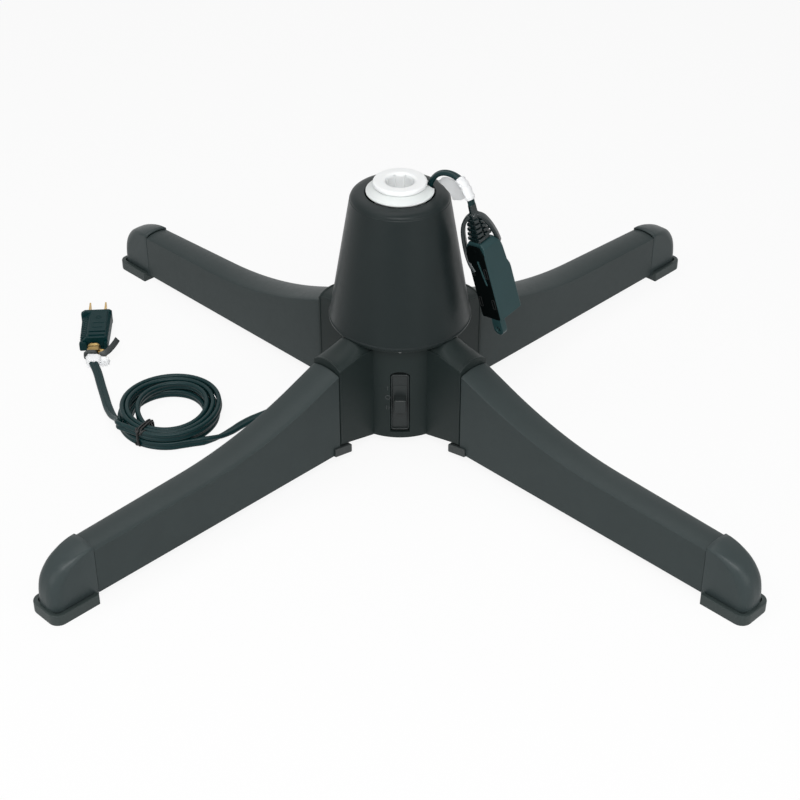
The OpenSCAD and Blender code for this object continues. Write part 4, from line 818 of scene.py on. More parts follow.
# %% Wraps
FOIL = [
    # forward, width, height, middle across, middle up
    (4.5, 9.0, 5.6, 0.2, 5.8), (2.4, 10.2, 6.8, 0.4, 5.9), (0.2, 9.4, 5.8, 0.4, 5.8),
    (-1.8, 10.8, 6.8, 0.6, 5.7), (-4.2, 9.8, 6.0, 1.0, 5.5), (-6.0, 10.2, 6.4, 1.4, 5.4),
]
FOIL_TUCK = [
    (-2.6, 6.6, 4.8, 6.4, 4.6), (-4.4, 7.8, 5.8, 6.8, 4.8), (-7.0, 7.2, 5.0, 7.0, 4.6),
    (-8.6, 6.2, 4.2, 7.0, 4.4),
]
BAND = [
    (-6.6, 9.8, 6.2, -1.2, 5.5), (-7.0, 10.8, 7.0, -1.4, 5.5), (-9.2, 11.0, 7.2, -1.7, 5.4),
    (-9.7, 9.8, 6.4, -1.8, 5.3),
]
BAND_TAIL = [
    (5.5, -9.0, 5.4), (9.0, -8.4, 6.2), (12.0, -6.4, 7.0), (14.6, -3.0, 8.0), (17.0, 1.4, 8.8),
    (19.2, 7.2, 9.4),
]
BAND_FACE = Vector((0.52, -0.27, -0.59))
LABEL = [
    (-12.0, 11.2, 6.8, 0.8, 5.2), (-13.4, 12.6, 7.6, 1.2, 5.1), (-17.2, 12.0, 7.0, 1.4, 4.8),
    (-20.4, 10.6, 6.2, 1.2, 4.4),
]
LABEL_FOLD = [(-12.0, 6.4, 4.6, 8.0, 3.8), (-14.8, 8.4, 6.0, 9.6, 4.0), (-18.6, 6.6, 4.8, 9.8, 3.4)]


def wrap(bm, stations):
    """A sleeve of creased strip, with its creases worked out from each point's place in it."""
    rings = []
    for i, (y, width, height, mid, high) in enumerate(stations):
        a, b = width / 2, height / 2
        flat = rectangle(mid - a, mid + a, high - b, high + b, height * 0.35, 4, upper=height * 0.42)
        ring = []
        for k, (x, z) in enumerate(flat):
            across = x * (1 + 0.05 * math.sin(k * 2.1 + i * 1.7))
            forward = y + 0.25 * math.sin(k * 0.9 + i)
            up = z + 0.12 * math.sin(k * 1.7 + i * 2.3)
            ring.append(at_plug(across, forward, up) * MM)
        rings.append(ring)
    carry(bm, rings)


bm = bmesh.new()
wrap(bm, FOIL)
wrap(bm, FOIL_TUCK)
foil = piece("foil_wrap", bm, "stand", "contact_brass", crisp=20, level=False, paint="foil_gold")
bm = bmesh.new()
wrap(bm, BAND)
line, _ = smooth_path([at_plug(*p) * MM for p in BAND_TAIL], 0.0012)
sweep_outline(bm, line, [BAND_FACE for _ in line], in_metres(rectangle(-2.4, 2.4, -0.3, 0.3, 0.2, 2)))
strap = piece("plug_band", bm, "stand", "clip_black", ["plug_strap"], crisp=40, level=False)
bm = bmesh.new()
wrap(bm, LABEL)
wrap(bm, LABEL_FOLD)
label = piece("plug_label", bm, "stand", "tag_white", ["cord_tag"], crisp=25, level=False, paint="label_white")

# %% [markdown]
# ## Outlet cord
# A shorter flat cord comes up through the white skirt's notch, bends over in a stiff arch and goes
# down into the outlet's strain relief. It turns with the sleeve.

# %% Outlet cord
TAP_CORD_W, TAP_CORD_T, TAP_CORD_STEP = 5.8, 3.4, 0.0015
TAP_POINTS = [Vector(p) for p in (
    (20.4, 6.5, 152), (20.4, 6.5, 165), (20.4, 6.5, 178), (20.6, 6.4, 189.5), (22.6, 5.2, 197),
    (26.5, 2.4, 203), (31.5, -2.2, 206.5), (37.5, -8.5, 207.6), (43, -14.6, 205.6), (46.4, -18.2, 200.8),
)]
TAP_SIDES = [108, 108, 108, 106, 90, 70, 55, 45, 45, 45, 45, 45]
TAP_LEAN = math.radians(14.3)
TAP_AXIS = Vector((-math.sin(TAP_LEAN), 0, math.cos(TAP_LEAN)))
TAP_TOP = Vector((49.583, -20.520, 191.719))
tap_route = TAP_POINTS + [TAP_TOP + TAP_AXIS * TAP_CORD_W, TAP_TOP]
tap_line, tap_places = smooth_path([p * MM for p in tap_route], TAP_CORD_STEP)
tap_wide = []
for place in tap_places:
    a = math.radians(between(TAP_SIDES, place))
    tap_wide.append(Vector((math.cos(a), math.sin(a), 0)))
bm = bmesh.new()
sweep_outline(bm, tap_line, tap_wide, twin_outline(TAP_CORD_W * MM, TAP_CORD_T * MM))
outlet_cord = piece("outlet_cord", bm, "turning_head", "cord_green", ["tap_cord"], crisp=50, level=False)
print(f"outlet cord: {length_of(tap_line):.3f} m")

# %% [markdown]
# ## Outlet
# The outlet hangs beside the tower. Its body is a flat-sided block with a chamfered neck. Above it is a
# strain relief of staggered teeth on a core under a bowed guard, and below it a tongue with a hole. The
# slots are on the face that is in shadow.

# %% Outlet body
TAP_CORNER, TAP_TURN = (72.3, -33, 103.6), math.radians(45)
TAP_WAY = Matrix.Rotation(-TAP_LEAN, 4, "Y") @ Matrix.Rotation(TAP_TURN, 4, "Z")
TAP_PLACE = Matrix.Translation(TAP_CORNER) @ TAP_WAY
TONGUE_MID, TONGUE_LOW, TONGUE_HALF, TONGUE_T, TONGUE_RISE, HOLE_R = 5.5, -8.5, 4.5, 5.0, 10, 2.1
TONGUE_ROWS = [
    (0.0, 0.5), (0.15, 0.15), (0.5, 0), (TONGUE_T - 0.5, 0), (TONGUE_T - 0.15, 0.15), (TONGUE_T, 0.5),
]
HOLE_ROWS = [(TONGUE_T, 0.4), (TONGUE_T - 0.4, 0), (0.4, 0), (0, 0.4)]
RIB_HIGH, RIB_FOOT = (7.6, 49.5), (4.3, 30.0)
BODY_LAYERS = [
    # height, left, right, front, back
    (0, 0.6, 21.7, 0.6, 17.4), (0.25, 0.2, 22.1, 0.2, 17.8), (0.7, 0, 22.3, 0, 18), (34.5, 0, 22.3, 0, 18),
    (37, 0, 22.0, 0, 18), (39.5, 0, 21.1, 0, 18), (41.5, 0, 20.3, 0, 18), (48, 0, 19.8, 0, 18),
    (53, 0, 19.4, 0, 18), (56, 0.7, 18.9, 0, 18), (59.4, 1.2, 17.4, 0.1, 17.4), (60.0, 1.4, 17.0, 0.5, 17.0),
    (62.2, 1.8, 16.2, 2.6, 15.4),
    (62.8, 2.2, 15.8, 3.2, 14.9), (63.0, 2.8, 15.2, 3.9, 14.2),
]


def at_tap(x, y, z):
    """A point of the outlet: z is up its length, and the dark face is at x = 0."""
    return TAP_PLACE @ Vector((x, y, z))


def tap_plan(a, depth, b):
    """Places an outline that is seen from above the outlet."""
    return at_tap(a, b, depth)


def tap_face(a, depth, b):
    """Places an outline that is seen on the outlet's dark face."""
    return at_tap(depth, a, b)


def tongue_ring(points, depth, grown):
    """The tongue's outline or its hole at a depth, made larger or smaller about the hole."""
    return [at_tap(depth, TONGUE_MID + x * grown, TONGUE_LOW + z * grown) * MM for x, z in points]


bm = bmesh.new()
loft(bm, [
    (z, right - left, back - front, 0.8, (left + right) / 2, (front + back) / 2)
    for z, left, right, front, back in BODY_LAYERS
], tap_plan)
outer, hole = [], []
for k in range(24):
    a = math.radians(k * 15 + 7.5)
    reach = TONGUE_HALF
    if math.sin(a) > 0:
        reach = min(TONGUE_HALF / abs(math.cos(a)), TONGUE_RISE / math.sin(a))
    outer.append((reach * math.cos(a), reach * math.sin(a)))
    hole.append((HOLE_R * math.cos(a), HOLE_R * math.sin(a)))
rings = [tongue_ring(outer, depth, 1 - less / TONGUE_HALF) for depth, less in TONGUE_ROWS]
rings += [tongue_ring(hole, depth, 1 + more / HOLE_R) for depth, more in HOLE_ROWS]
part = bmesh.new()
carry(part, [*rings, rings[0]], ends=False)
merge_in(bm, part)
face_out = at_tap(-1, 0, 0) - at_tap(0, 0, 0)
bar(bm, at_tap(0, *RIB_HIGH), at_tap(0, *RIB_FOOT), face_out, 1.5, 1.1)
tap_shell = piece("tap_shell", bm, "turning_head", "tap_green", ["tap_body"], crisp=32)

# %% [markdown]
# ## Outlet face
# The face with the slots is a separate near-black plate, set on the body, with a round boss near its top.
# Its near-black is painted shade, because that face lies in deep shadow. It is an outline of its own, so
# that its edge shows as a line round the face.

# %% Outlet face
FACE_EDGE = [
    (0.4, 0.7, 1.2), (17.7, 0.7, 1.2), (17.7, 53.5, 2.0), (14.4, 61.4, 2.0), (3.4, 61.4, 2.0), (0.4, 54.5, 1.6),
]
BOSS_MID, BOSS_R = (8.3, 57.4), 2.0
bm = bmesh.new()
slab(bm, rounded(FACE_EDGE, 3), -0.45, 0.6, 0.25, tap_face)
add(bm, slab, circle(*BOSS_MID, BOSS_R, 18), -1.0, 1.0, 0.35, tap_face)
# The plate and its boss are painted near-black as shade.
face_shade_plate = piece("tap_face_shade_plate", bm, "turning_head", "tap_green", crisp=32, paint="tap_face_painted_shade")

# %% [markdown]
# ## Outlet slots
# Two pairs of slots take the blades of two plugs. The face is in shadow and its plate is painted near-black
# as shade, so nothing is cut into the plate. A low rounded rim stands on it at the place of each slot.

# %% Outlet slots
SLOT_PAIRS, SLOT_TALL, SLOT_WIDE, SLOT_MID = (14.0, 40.0), 7.2, 1.6, 9
SLOT_ROWS = [(-0.4, -0.7), (-0.7, -0.55), (-0.7, -0.2), (-0.4, 0), (0.0, 0.1)]
bm = bmesh.new()
for z in SLOT_PAIRS:
    for y in (SLOT_MID - BLADE_OUT, SLOT_MID + BLADE_OUT):
        half, tall = SLOT_WIDE / 2, SLOT_TALL / 2
        hole = rectangle(y - half, y + half, z - tall, z + tall, 0.3, 2)
        add(bm, carry, [[at_tap(d, a, b) * MM for a, b in shrunk(hole, by)] for d, by in SLOT_ROWS])
slots = piece("tap_slots", bm, "turning_head", "tie_black", ["tap_contacts"], crisp=30)

# %% [markdown]
# ## Outlet strain relief
# Above the outlet a slim core carries five pairs of teeth, one side higher than the other, so that the
# relief bends. A bowed guard goes over it. Core and teeth are stacks of rounded rectangles, and the
# guard is a rounded bar swept along a curve. The relief is the body's own plastic, painted much darker
# as the shade among its teeth, and glossier.

# %% Outlet strain relief
TAP_MID = 9
CORE = [
    # height, width, depth, corner, middle across
    (62.5, 12.0, 9.0, 1.5, 8.65), (66, 10.6, 8.0, 1.5, 8.6), (74, 8.4, 6.4, 1.5, 8.4),
    (80, 7.0, 6.0, 1.5, 8.3), (83.5, 7.6, 6.6, 2, 8.3), (84.2, 6.8, 5.8, 1.8, 8.3),
    (84.6, 6.0, 4.2, 1.6, 8.4), (90.6, 5.8, 4.0, 1.6, 8.6), (91, 5.4, 3.6, 1.5, 8.6),
]
TEETH, TOOTH_FIRST, TOOTH_STEP, TOOTH_THICK, TOOTH_GAP = 5, 65.4, 3.5, 2.2, 0.35
TOOTH_SIDES = [(-1, 0), (1, 1.6)]
TOOTH_EDGE = [(0, 0.6, 0.8), (0.2, 0.15, 1.0), (0.5, 0, 1.1)]


def tooth(bm, z, out, deep, mid):
    """One tooth of the relief: a block with softened edges above and below."""
    lower = [(z - TOOTH_THICK / 2 + d, out - less, deep - less, corner) for d, less, corner in TOOTH_EDGE]
    upper = [(z + TOOTH_THICK / 2 - d, out - less, deep - less, corner) for d, less, corner in TOOTH_EDGE]
    loft(bm, [(*layer, mid, TAP_MID) for layer in lower + upper[::-1]], tap_plan)


bm = bmesh.new()
loft(bm, [(*layer, TAP_MID) for layer in CORE], tap_plan, 4)
for k in range(TEETH):
    share = k / (TEETH - 1)
    out = 6.2 - 1.9 * share
    for side, lift in TOOTH_SIDES:
        mid = 8.6 - 0.2 * share + side * (out / 2 + TOOTH_GAP)
        add(bm, tooth, TOOTH_FIRST + k * TOOTH_STEP + lift, out, 12.4 - 3.2 * share, mid)
guard = [
    (18.9, 2.4, 57), (18.5, 2.4, 60.5), (17.0, 2.8, 67.5), (14.6, 3.6, 75), (12.0, 5.4, 80.6), (8.8, 8.4, 82.8),
    (6.0, 12.0, 81.8), (4.4, 16.4, 77), (4, 19.8, 69.5), (4, 21.4, 61.5), (3.4, 21.4, 54), (2.0, 19.4, 48),
    (0.6, 16.4, 43.5), (-0.2, 12.6, 39.5),
]
line, _ = smooth_path([at_tap(*p) * MM for p in guard], 0.0012)
guard_wide = (at_tap(1, 0.6, 0) - at_tap(0, 0, 0)).normalized()
guard_section = in_metres(rectangle(-2.3, 2.3, -1.5, 1.5, 0.8))
add(bm, sweep_outline, line, [guard_wide for _ in line], guard_section)
# The relief's finish is painted shade, darker than the body's own plastic.
boot = piece("tap_boot", bm, "turning_head", "tap_green", ["tap_relief_boot"], crisp=32, paint="boot_painted_shade")

# %% [markdown]
# ## Outlet label
# A bare white tag is wrapped round the cord above the outlet, and its loose end stands off as a flag. The
# wrap is a creased ring carried along the cord, and the flag a thin outline with a slow wave in it.

# %% Outlet label
TAG_PLACES = (0.795, 0.803, 0.82, 0.84, 0.855, 0.875, 0.89, 0.91, 0.925, 0.94, 0.955, 0.963)
TAG_LOOSE, TAG_UNEVEN, TAG_CREASE, TAG_SIDES = 0.0010, 0.0003, 0.09, 20
FLAG_TURN, FLAG_FOOT, FLAG_THICK, FLAG_WAVE = math.radians(-46), Vector((31.2, 0.2, 0)), 0.35, 0.9
FLAG_WAY = Vector((math.cos(FLAG_TURN), math.sin(FLAG_TURN), 0))
FLAG_OUT = FLAG_WAY.cross(UP)
FLAG_CORNERS = [
    (-7.5, 195.6), (-1.6, 201.3), (4.2, 203.9), (10.1, 203.3), (16.9, 202.8), (20, 199.5), (20.1, 193),
    (15.3, 189.2), (8.6, 187), (6.6, 191.8), (-0.5, 194.6),
]
bm = bmesh.new()
tag_rings = []
for i, share in enumerate(TAG_PLACES):
    place = int(share * (len(tap_line) - 1))
    along = heading(tap_line, place)
    across = (tap_wide[place] - along * tap_wide[place].dot(along)).normalized()
    through = along.cross(across)
    grow = TAG_LOOSE + TAG_UNEVEN * math.sin(i * 2.2)
    half_w, half_t = TAP_CORD_W * MM / 2 + grow, TAP_CORD_T * MM / 2 + grow
    ring = []
    for k, (x, y) in enumerate(circle(0, 0, 1, TAG_SIDES)):
        crease = 1 + TAG_CREASE * math.sin(k * 2.6 + i * 1.9)
        ring.append(tap_line[place] + across * half_w * x * crease + through * half_t * y * crease)
    tag_rings.append(ring)
carry(bm, tag_rings)
layers = []
for depth in (0.0, FLAG_THICK):
    layer = []
    for s, z in rounded([(s, z, 0.8) for s, z in FLAG_CORNERS], 2):
        out = depth + FLAG_WAVE * math.sin(s * 0.32) + 0.05 * (z - 196)
        layer.append((FLAG_FOOT + FLAG_WAY * s + FLAG_OUT * out + UP * z) * MM)
    layers.append(layer)
add(bm, carry, layers)
tap_label = piece("tap_label", bm, "turning_head", "tag_white", ["tap_tag"], crisp=30, level=False)

# %% [markdown]
# ## Tower
# One moulding: a cone that leans in by 9.6 degrees, a thin lip at its foot, a fine step at the crease
# and a soft shoulder that rolls over to the mouth. It is round, so its profile is turned.

# %% Tower
TOWER_R, LIP_R, CREASE_R, MOUTH_R = 51.6, 52.3, 35.8, 24.9
TOWER_LOW, CONE_LOW, CREASE_Z, RIM_Z = 91.0, 92.4, 186.0, 190.8
SHELL, ROLL_IN, ROLL_OUT, ROLL_POWER = 2.4, 1.3, 0.35, 0.92
shoulder = []
for k in range(1, 15):
    a = math.radians(k * 6)
    shoulder.append((
        MOUTH_R + ROLL_IN + (CREASE_R - ROLL_OUT - MOUTH_R - ROLL_IN) * math.cos(a) ** ROLL_POWER,
        CREASE_Z + 0.5 + (RIM_Z - CREASE_Z - 0.55) * math.sin(a),
        0,
    ))
tower_profile = rounded([
    (TOWER_R - SHELL, TOWER_LOW, 0), (LIP_R, TOWER_LOW, 0.25), (LIP_R, CONE_LOW, 0.5),
    (TOWER_R, CONE_LOW, 0.35),
    (CREASE_R + 0.08, CREASE_Z - 0.1, 0.25), (CREASE_R - 0.28, CREASE_Z + 0.3, 0.12), *shoulder,
    (MOUTH_R + 0.75, RIM_Z + 0.02, 0.3), (MOUTH_R, RIM_Z - 0.1, 0.45), (MOUTH_R, RIM_Z - 2.4, 0.2),
    (MOUTH_R + 3, RIM_Z - 3, 0), (CREASE_R - SHELL, CREASE_Z - 1, 0.8),
], 3)
bm = bmesh.new()
turn_profile(bm, tower_profile, steps=160)
# Its finish, tower_black, is the stand's plastic painted darker as shade.
piece("tower_shell", bm, "stand", "tower_black", ["tower_cover"], crisp=35)

# %% [markdown]
# ## Drum and arms
# The round drum carries four short arms. Each arm is a channel with upright sides and a top that sweeps
# up like a saddle into the tower's lip. Its section changes along its length, so it is carried from
# station to station, with a thin rim where the leg begins.

# %% Arms
DRUM_R, DRUM_LOW, DRUM_WALL = 42.6, 8.3, 2.6
ARM_HALF, ARM_END, ARM_ACROSS, ARM_SOFT = 13.2, 74.0, 14, 1.1
ARM_EDGE = [(36, 83.4), (40, 83.3), (52, 83.2), (62, 81.4), (69, 80.2), (74, 79.0)]
ARM_RISE = math.radians(12.7)
SADDLE_END, SADDLE_LONG, SADDLE_LOW, SADDLE_RISE = 76, 25.3, 83, 8
ARM_STATIONS = [38, 42, 45, 48, 50, 51, 52, 53.5, 55, 57, 59, 61, 63, 65, 67, 69, 71, 72.2]
ARM_RIM = [(72.35, 0.25), (72.6, 0.4), (73.6, 0.4), (73.85, 0.3), (74.0, 0.05)]
END_WALL, SOCKET_LONG = (71.4, 73.8), (73, 96)
SOCKET = [(-9.2, 18), (-9.2, 57), (9.2, 57), (9.2, 18), (7, 18), (7, 54.6), (-7, 54.6), (-7, 18)]
LEG_TURNS = {"front_left": 225, "front_right": 315, "back_right": 45, "back_left": 135}


def arm_floor(r):
    """The height of the arm's lower edge, which rises away from the drum."""
    return DRUM_LOW + math.tan(ARM_RISE) * max(0, r - DRUM_R + DRUM_WALL)


def arm_top(r, w):
    """The height of the arm's saddle at a distance from the axis and from the arm's middle."""
    edge = smooth_between(ARM_EDGE, r)
    near = max(0, (SADDLE_END - math.hypot(r, w * 0.6)) / SADDLE_LONG)
    ridge = min(SADDLE_LOW + SADDLE_RISE * near * near, TOWER_LOW)
    return edge + (ridge - edge) * (1 - min(1, abs(w) / ARM_HALF) ** 2.2)


def arm_outline(r, inset=0.0, grow=0.0):
    """One section of an arm: up one side, over the top and down the other. A rounded edge joins them."""
    half = ARM_HALF - inset + grow
    edge = arm_top(r, ARM_HALF) - inset + grow
    side = [(-half, arm_floor(r)), (-half, arm_floor(r) + 12), (-half, 45)]
    for k in range(5):
        a = math.radians(90 * k / 4)
        side.append((-half + ARM_SOFT * (1 - math.cos(a)), edge - ARM_SOFT * 0.8 * (1 - math.sin(a))))
    top = []
    for k in range(1, ARM_ACROSS):
        w = -half + ARM_SOFT + (2 * half - 2 * ARM_SOFT) * k / ARM_ACROSS
        top.append((w, arm_top(r, w) - inset + grow))
    return side + top + [(-w, z) for w, z in reversed(side)]


def upright_ring(r, outline):
    """An outline (across, up) that stands at a distance from the axis, in metres."""
    return [Vector((r, w, z)) * MM for w, z in outline]


def arm_station(r, grow=0.0):
    """The arm's whole section: its outside, and its inside a wall further in."""
    return upright_ring(r, arm_outline(r, grow=grow) + arm_outline(r, inset=DRUM_WALL)[::-1])


bm = bmesh.new()
end_outline = arm_outline(END_WALL[0], inset=DRUM_WALL - 0.3)
for turn in LEG_TURNS.values():
    arm = bmesh.new()
    carry(arm, [arm_station(r) for r in ARM_STATIONS] + [arm_station(r, grow) for r, grow in ARM_RIM])
    carry(arm, [upright_ring(r, end_outline) for r in END_WALL])
    carry(arm, [upright_ring(r, SOCKET) for r in SOCKET_LONG])
    spin_to(arm, turn)
    merge_in(bm, arm)
print("arm sections:", len(ARM_STATIONS) + len(ARM_RIM))

# %% [markdown]
# ## Drum
# The drum is turned from its profile. Its front has an arched opening for the switch, made without a
# boolean: a panel of faces is taken out, and rows of faces are carried from that panel's edge to the arch.

# %% Drum
OPEN_HALF, OPEN_LOW, ARCH_MID, ARCH_R = 7.1, 13.5, 56.5, 10.0
FRONT_LOW, FRONT_HIGH, FRONT_ROWS, FRONT_TURN, FRONT_STEPS = 12.0, 68.0, 12, 2.25, 6
front_rows = [FRONT_LOW + (FRONT_HIGH - FRONT_LOW) * k / FRONT_ROWS for k in range(FRONT_ROWS + 1)]
front_steps = range(-FRONT_STEPS, FRONT_STEPS + 1)


def front_ring(points, r):
    """Points (across, up) laid on the drum's round front at a radius."""
    turns = [(math.asin(x / DRUM_R), z) for x, z in points]
    return [Vector((r * math.sin(a), -r * math.cos(a), z)) * MM for a, z in turns]


def front_edge():
    """The edge of the panel that is taken out of the drum's front, point by point."""
    across = [DRUM_R * math.sin(math.radians(FRONT_TURN * k)) for k in front_steps]
    up = front_rows[1:-1]
    return (
        [(x, FRONT_LOW) for x in across] + [(across[-1], z) for z in up]
        + [(x, FRONT_HIGH) for x in across[::-1]] + [(across[0], z) for z in up[::-1]]
    )


def front_arch(grow=0.0):
    """The opening's outline with as many points: straight sides under a flat arch."""
    half, low, arch = OPEN_HALF + grow, OPEN_LOW - grow, ARCH_R + grow
    side = ARCH_MID + math.sqrt(arch**2 - half**2)
    across = [half * k / FRONT_STEPS for k in front_steps]
    up = [low + (side - low) * k / FRONT_ROWS for k in range(1, FRONT_ROWS)]
    return (
        [(x, low) for x in across] + [(half, z) for z in up]
        + [(x, ARCH_MID + math.sqrt(arch**2 - x * x)) for x in across[::-1]] + [(-half, z) for z in up[::-1]]
    )


def in_front_panel(face):
    """Whether a face of the drum lies in the panel that is taken out."""
    middle = face.calc_center_median() / MM
    turned = math.degrees(math.atan2(middle.x, -middle.y))
    return abs(turned) < FRONT_STEPS * FRONT_TURN and FRONT_LOW < middle.z < FRONT_HIGH


DRUM_IN = DRUM_R - DRUM_WALL
drum_profile = rounded([
    (DRUM_IN, DRUM_LOW, 0.3), (DRUM_R, DRUM_LOW, 0.6), *[(DRUM_R, z, 0) for z in front_rows],
    (DRUM_R, 87.0, 1.5), (46, 88.6, 0.4), (50.7, 88.6, 0.4), (50.7, TOWER_LOW, 0.1), (40, TOWER_LOW, 0),
    (36, 89, 0), (23, 89, 0.3), (23, 86, 0.3),
    (DRUM_IN, 86, 0.5), *[(DRUM_IN, z, 0) for z in front_rows[::-1]],
], 3)
drum = bmesh.new()
turn_profile(drum, drum_profile, steps=160)
panel = [f for f in drum.faces if in_front_panel(f)]
bmesh.ops.delete(drum, geom=panel, context="FACES")
carry(drum, [
    front_ring(front_edge(), DRUM_R), front_ring(front_arch(0.6), DRUM_R),
    front_ring(front_arch(0.15), DRUM_R - 0.15), front_ring(front_arch(), DRUM_R - 0.5),
    front_ring(front_arch(), DRUM_IN), front_ring(front_edge(), DRUM_IN),
], ends=False)
merge_in(bm, drum)
print("faces taken out of the drum's front:", len(panel))
# Its finish, body_black, is the stand's plastic painted darker on the drum and arms as shade.
piece("hub_shell", bm, "stand", "body_black", ["base_housing"], crisp=35)

# %% [markdown]
# ## Switch
# A slide switch sits in the drum's arched opening. Its frame is one moulding: a flange behind the wall
# and a raised rim round a tray, in which the slider's cover plate and knob move. The three positions
# have raised marks on the drum, beside the frame. Each is a stack of rounded rectangles.

# %% Switch
SWITCH_Z = 39.3


def on_front(across, depth, up):
    """A place on the drum's front, measured from the switch's middle."""
    return (across, depth, SWITCH_Z + up)


bm = bmesh.new()
loft(bm, [
    (-29.7, 17.4, 56.2, 1, 0, 0.7), (-38.7, 17.4, 56.2, 1, 0, 0.7), (-38.7, 13.4, 48.6, 2),
    (-41.0, 13.4, 48.6, 2),
    (-41.4, 13.15, 48.35, 1.9), (-41.6, 12.7, 47.9, 1.7), (-41.6, 11.7, 46.9, 1.2), (-41.45, 11.3, 46.5, 1.1),
    (-41.1, 11.1, 46.3, 1), (-40.2, 10.9, 46.1, 0.9), (-40.2, 6, 23.4, 0.5), (-33.5, 6, 23.4, 0.5),
], on_front, 4)
piece("switch_frame", bm, "stand", "switch_black", ["switch_body"], crisp=40)
bm = bmesh.new()
loft(bm, [
    (-34.2, 5.2, 5.6, 0.3), (-40.25, 5.2, 5.6, 0.3), (-40.25, 10.4, 28.6, 1), (-40.38, 10.4, 28.6, 1),
    (-40.5, 9.6, 27.8, 0.9), (-40.5, 8.8, 11, 0.6), (-46.8, 8.7, 10.9, 0.6), (-47.25, 8.5, 10.7, 0.55),
    (-47.45, 8.1, 10.3, 0.45), (-47.5, 7.6, 9.8, 0.4),
], on_front)
piece("switch_knob", bm, "slider", "switch_black", ["switch_slider"], crisp=25, level=False)

# %% [markdown]
# ## Switch marks
# The marks are the generic I, O and II, raised on the drum. The strokes are small ribs, and the O is a
# ring of little sections that follow the drum's curve. They are the drum's own plastic, but take the
# lighter clip finish as a painted highlight.

# %% Switch marks
MARK_X, MARK_RISE, MARK_LONG, MARK_WIDE, MARK_APART = -8.9, 0.3, 3.4, 0.7, 0.85
MARK_PLACES = {"one": 52.0, "off": 44.1, "two": 35.2}
ZERO_SECTION = ((2.0, -0.3), (2.0, 0.2), (1.85, MARK_RISE), (1.45, MARK_RISE), (1.3, 0.2), (1.3, -0.3))
ZERO_STEPS = 28


def drum_bar(bm, x, z):
    """An upright raised stroke on the drum."""
    a = math.asin(x / DRUM_R)
    out = Vector((math.sin(a), -math.cos(a), 0))
    foot = out * DRUM_R + UP * z
    half = UP * (MARK_LONG / 2)
    bar(bm, foot - half, foot + half, out, MARK_WIDE, MARK_RISE)


bm = bmesh.new()
drum_bar(bm, MARK_X, MARK_PLACES["one"])
for off in (-MARK_APART, MARK_APART):
    drum_bar(bm, MARK_X + off, MARK_PLACES["two"])
zero = []
for k in range(ZERO_STEPS + 1):
    turn = math.radians(360 * k / ZERO_STEPS)
    ring = []
    for r, rise in ZERO_SECTION:
        point = (MARK_X + r * math.sin(turn), MARK_PLACES["off"] + r * math.cos(turn))
        ring += front_ring([point], DRUM_R + rise)
    zero.append(ring)
carry(bm, zero, ends=False)
# clip_black here is a painted highlight: the marks are lighter than the drum they are moulded on.
piece("switch_marks", bm, "stand", "clip_black", crisp=30)

# %% [markdown]
# ## Joint clips
# A U-shaped clip closes the joint of each leg from below: two thin cheeks outside the leg and a floor
# that follows the arm's slope, held by one screw.

# %% Joint clips
CHEEK_IN, CHEEK_OUT = 13.35, 14.6
CHEEK = [(64.4, 5.5, 0.8), (80.8, 8.45, 0.8), (80.8, 15.45, 1.2), (64.4, 12.5, 1.2)]
CLIP_FLOOR = [
    (64.4, 5.5, 0.6), (80.8, 8.45, 0.6), (80.8, 8.95, 0.2), (74.2, 8.95, 0.2), (74.2, 13.4, 0.5),
    (64.4, 12.2, 0.5),
]


def upright(along, depth, up):
    """Places an outline that stands along the leg."""
    return (along, depth, up)


bm = bmesh.new()
for turn in LEG_TURNS.values():
    clip = bmesh.new()
    slab(clip, rounded(CHEEK, 3), CHEEK_IN, CHEEK_OUT, 0.3, upright)
    slab(clip, rounded(CHEEK, 3), -CHEEK_OUT, -CHEEK_IN, 0.3, upright)
    slab(clip, rounded(CLIP_FLOOR, 3), -CHEEK_IN - 0.1, CHEEK_IN + 0.1, 0.1, upright)
    spin_to(clip, turn)
    merge_in(bm, clip)
piece("joint_clip_set", bm, "stand", "clip_black", ["joint_clips"], crisp=35)

# %% [markdown]
# ## Strain relief of the supply cord
# A short ribbed taper of the cord's own vinyl, clamped in the drum's wall.

# %% Strain relief
RELIEF_Z, RELIEF_FROM, RELIEF_TO, RELIEF_SIDES = 18.0, -41.0, -68.6, 40
RIBS, RIB_FIRST, RIB_STEP, RIB_R, RIB_TAPER = 6, -46.6, 3.4, 6.1, 0.29
RIB_SHAPE = [(0, 0.7), (0.9, 0.75), (1.2, 0), (3.0, 0.1), (3.3, 0.75)]
relief_rows = [(RELIEF_FROM, 5.3), (-42.9, 5.3)]
relief_rows += [(-42.9, 6.3), (-43.3, 6.6), (-45.4, 6.6), (-45.8, 6.3), (-45.9, 6.0)]
for k in range(RIBS):
    x = RIB_FIRST - k * RIB_STEP
    outer = RIB_R - RIB_TAPER * (k + 1)
    relief_rows += [(x - back, outer - less) for back, less in RIB_SHAPE]
relief_rows += [(RELIEF_TO + 0.5, 4.4), (RELIEF_TO, 4.1)]
bm = bmesh.new()
carry(bm, [upright_ring(x, circle(0, RELIEF_Z, r, RELIEF_SIDES)) for x, r in relief_rows])
piece("supply_relief", bm, "stand", "cord_green", ["cord_relief"], crisp=30)

# %% [markdown]
# ## Legs
# Each leg is one long channel, open below. Its crowned top falls steeply from the hub and then
# flattens towards the foot. A narrow flat chamfer runs along each side of the top.

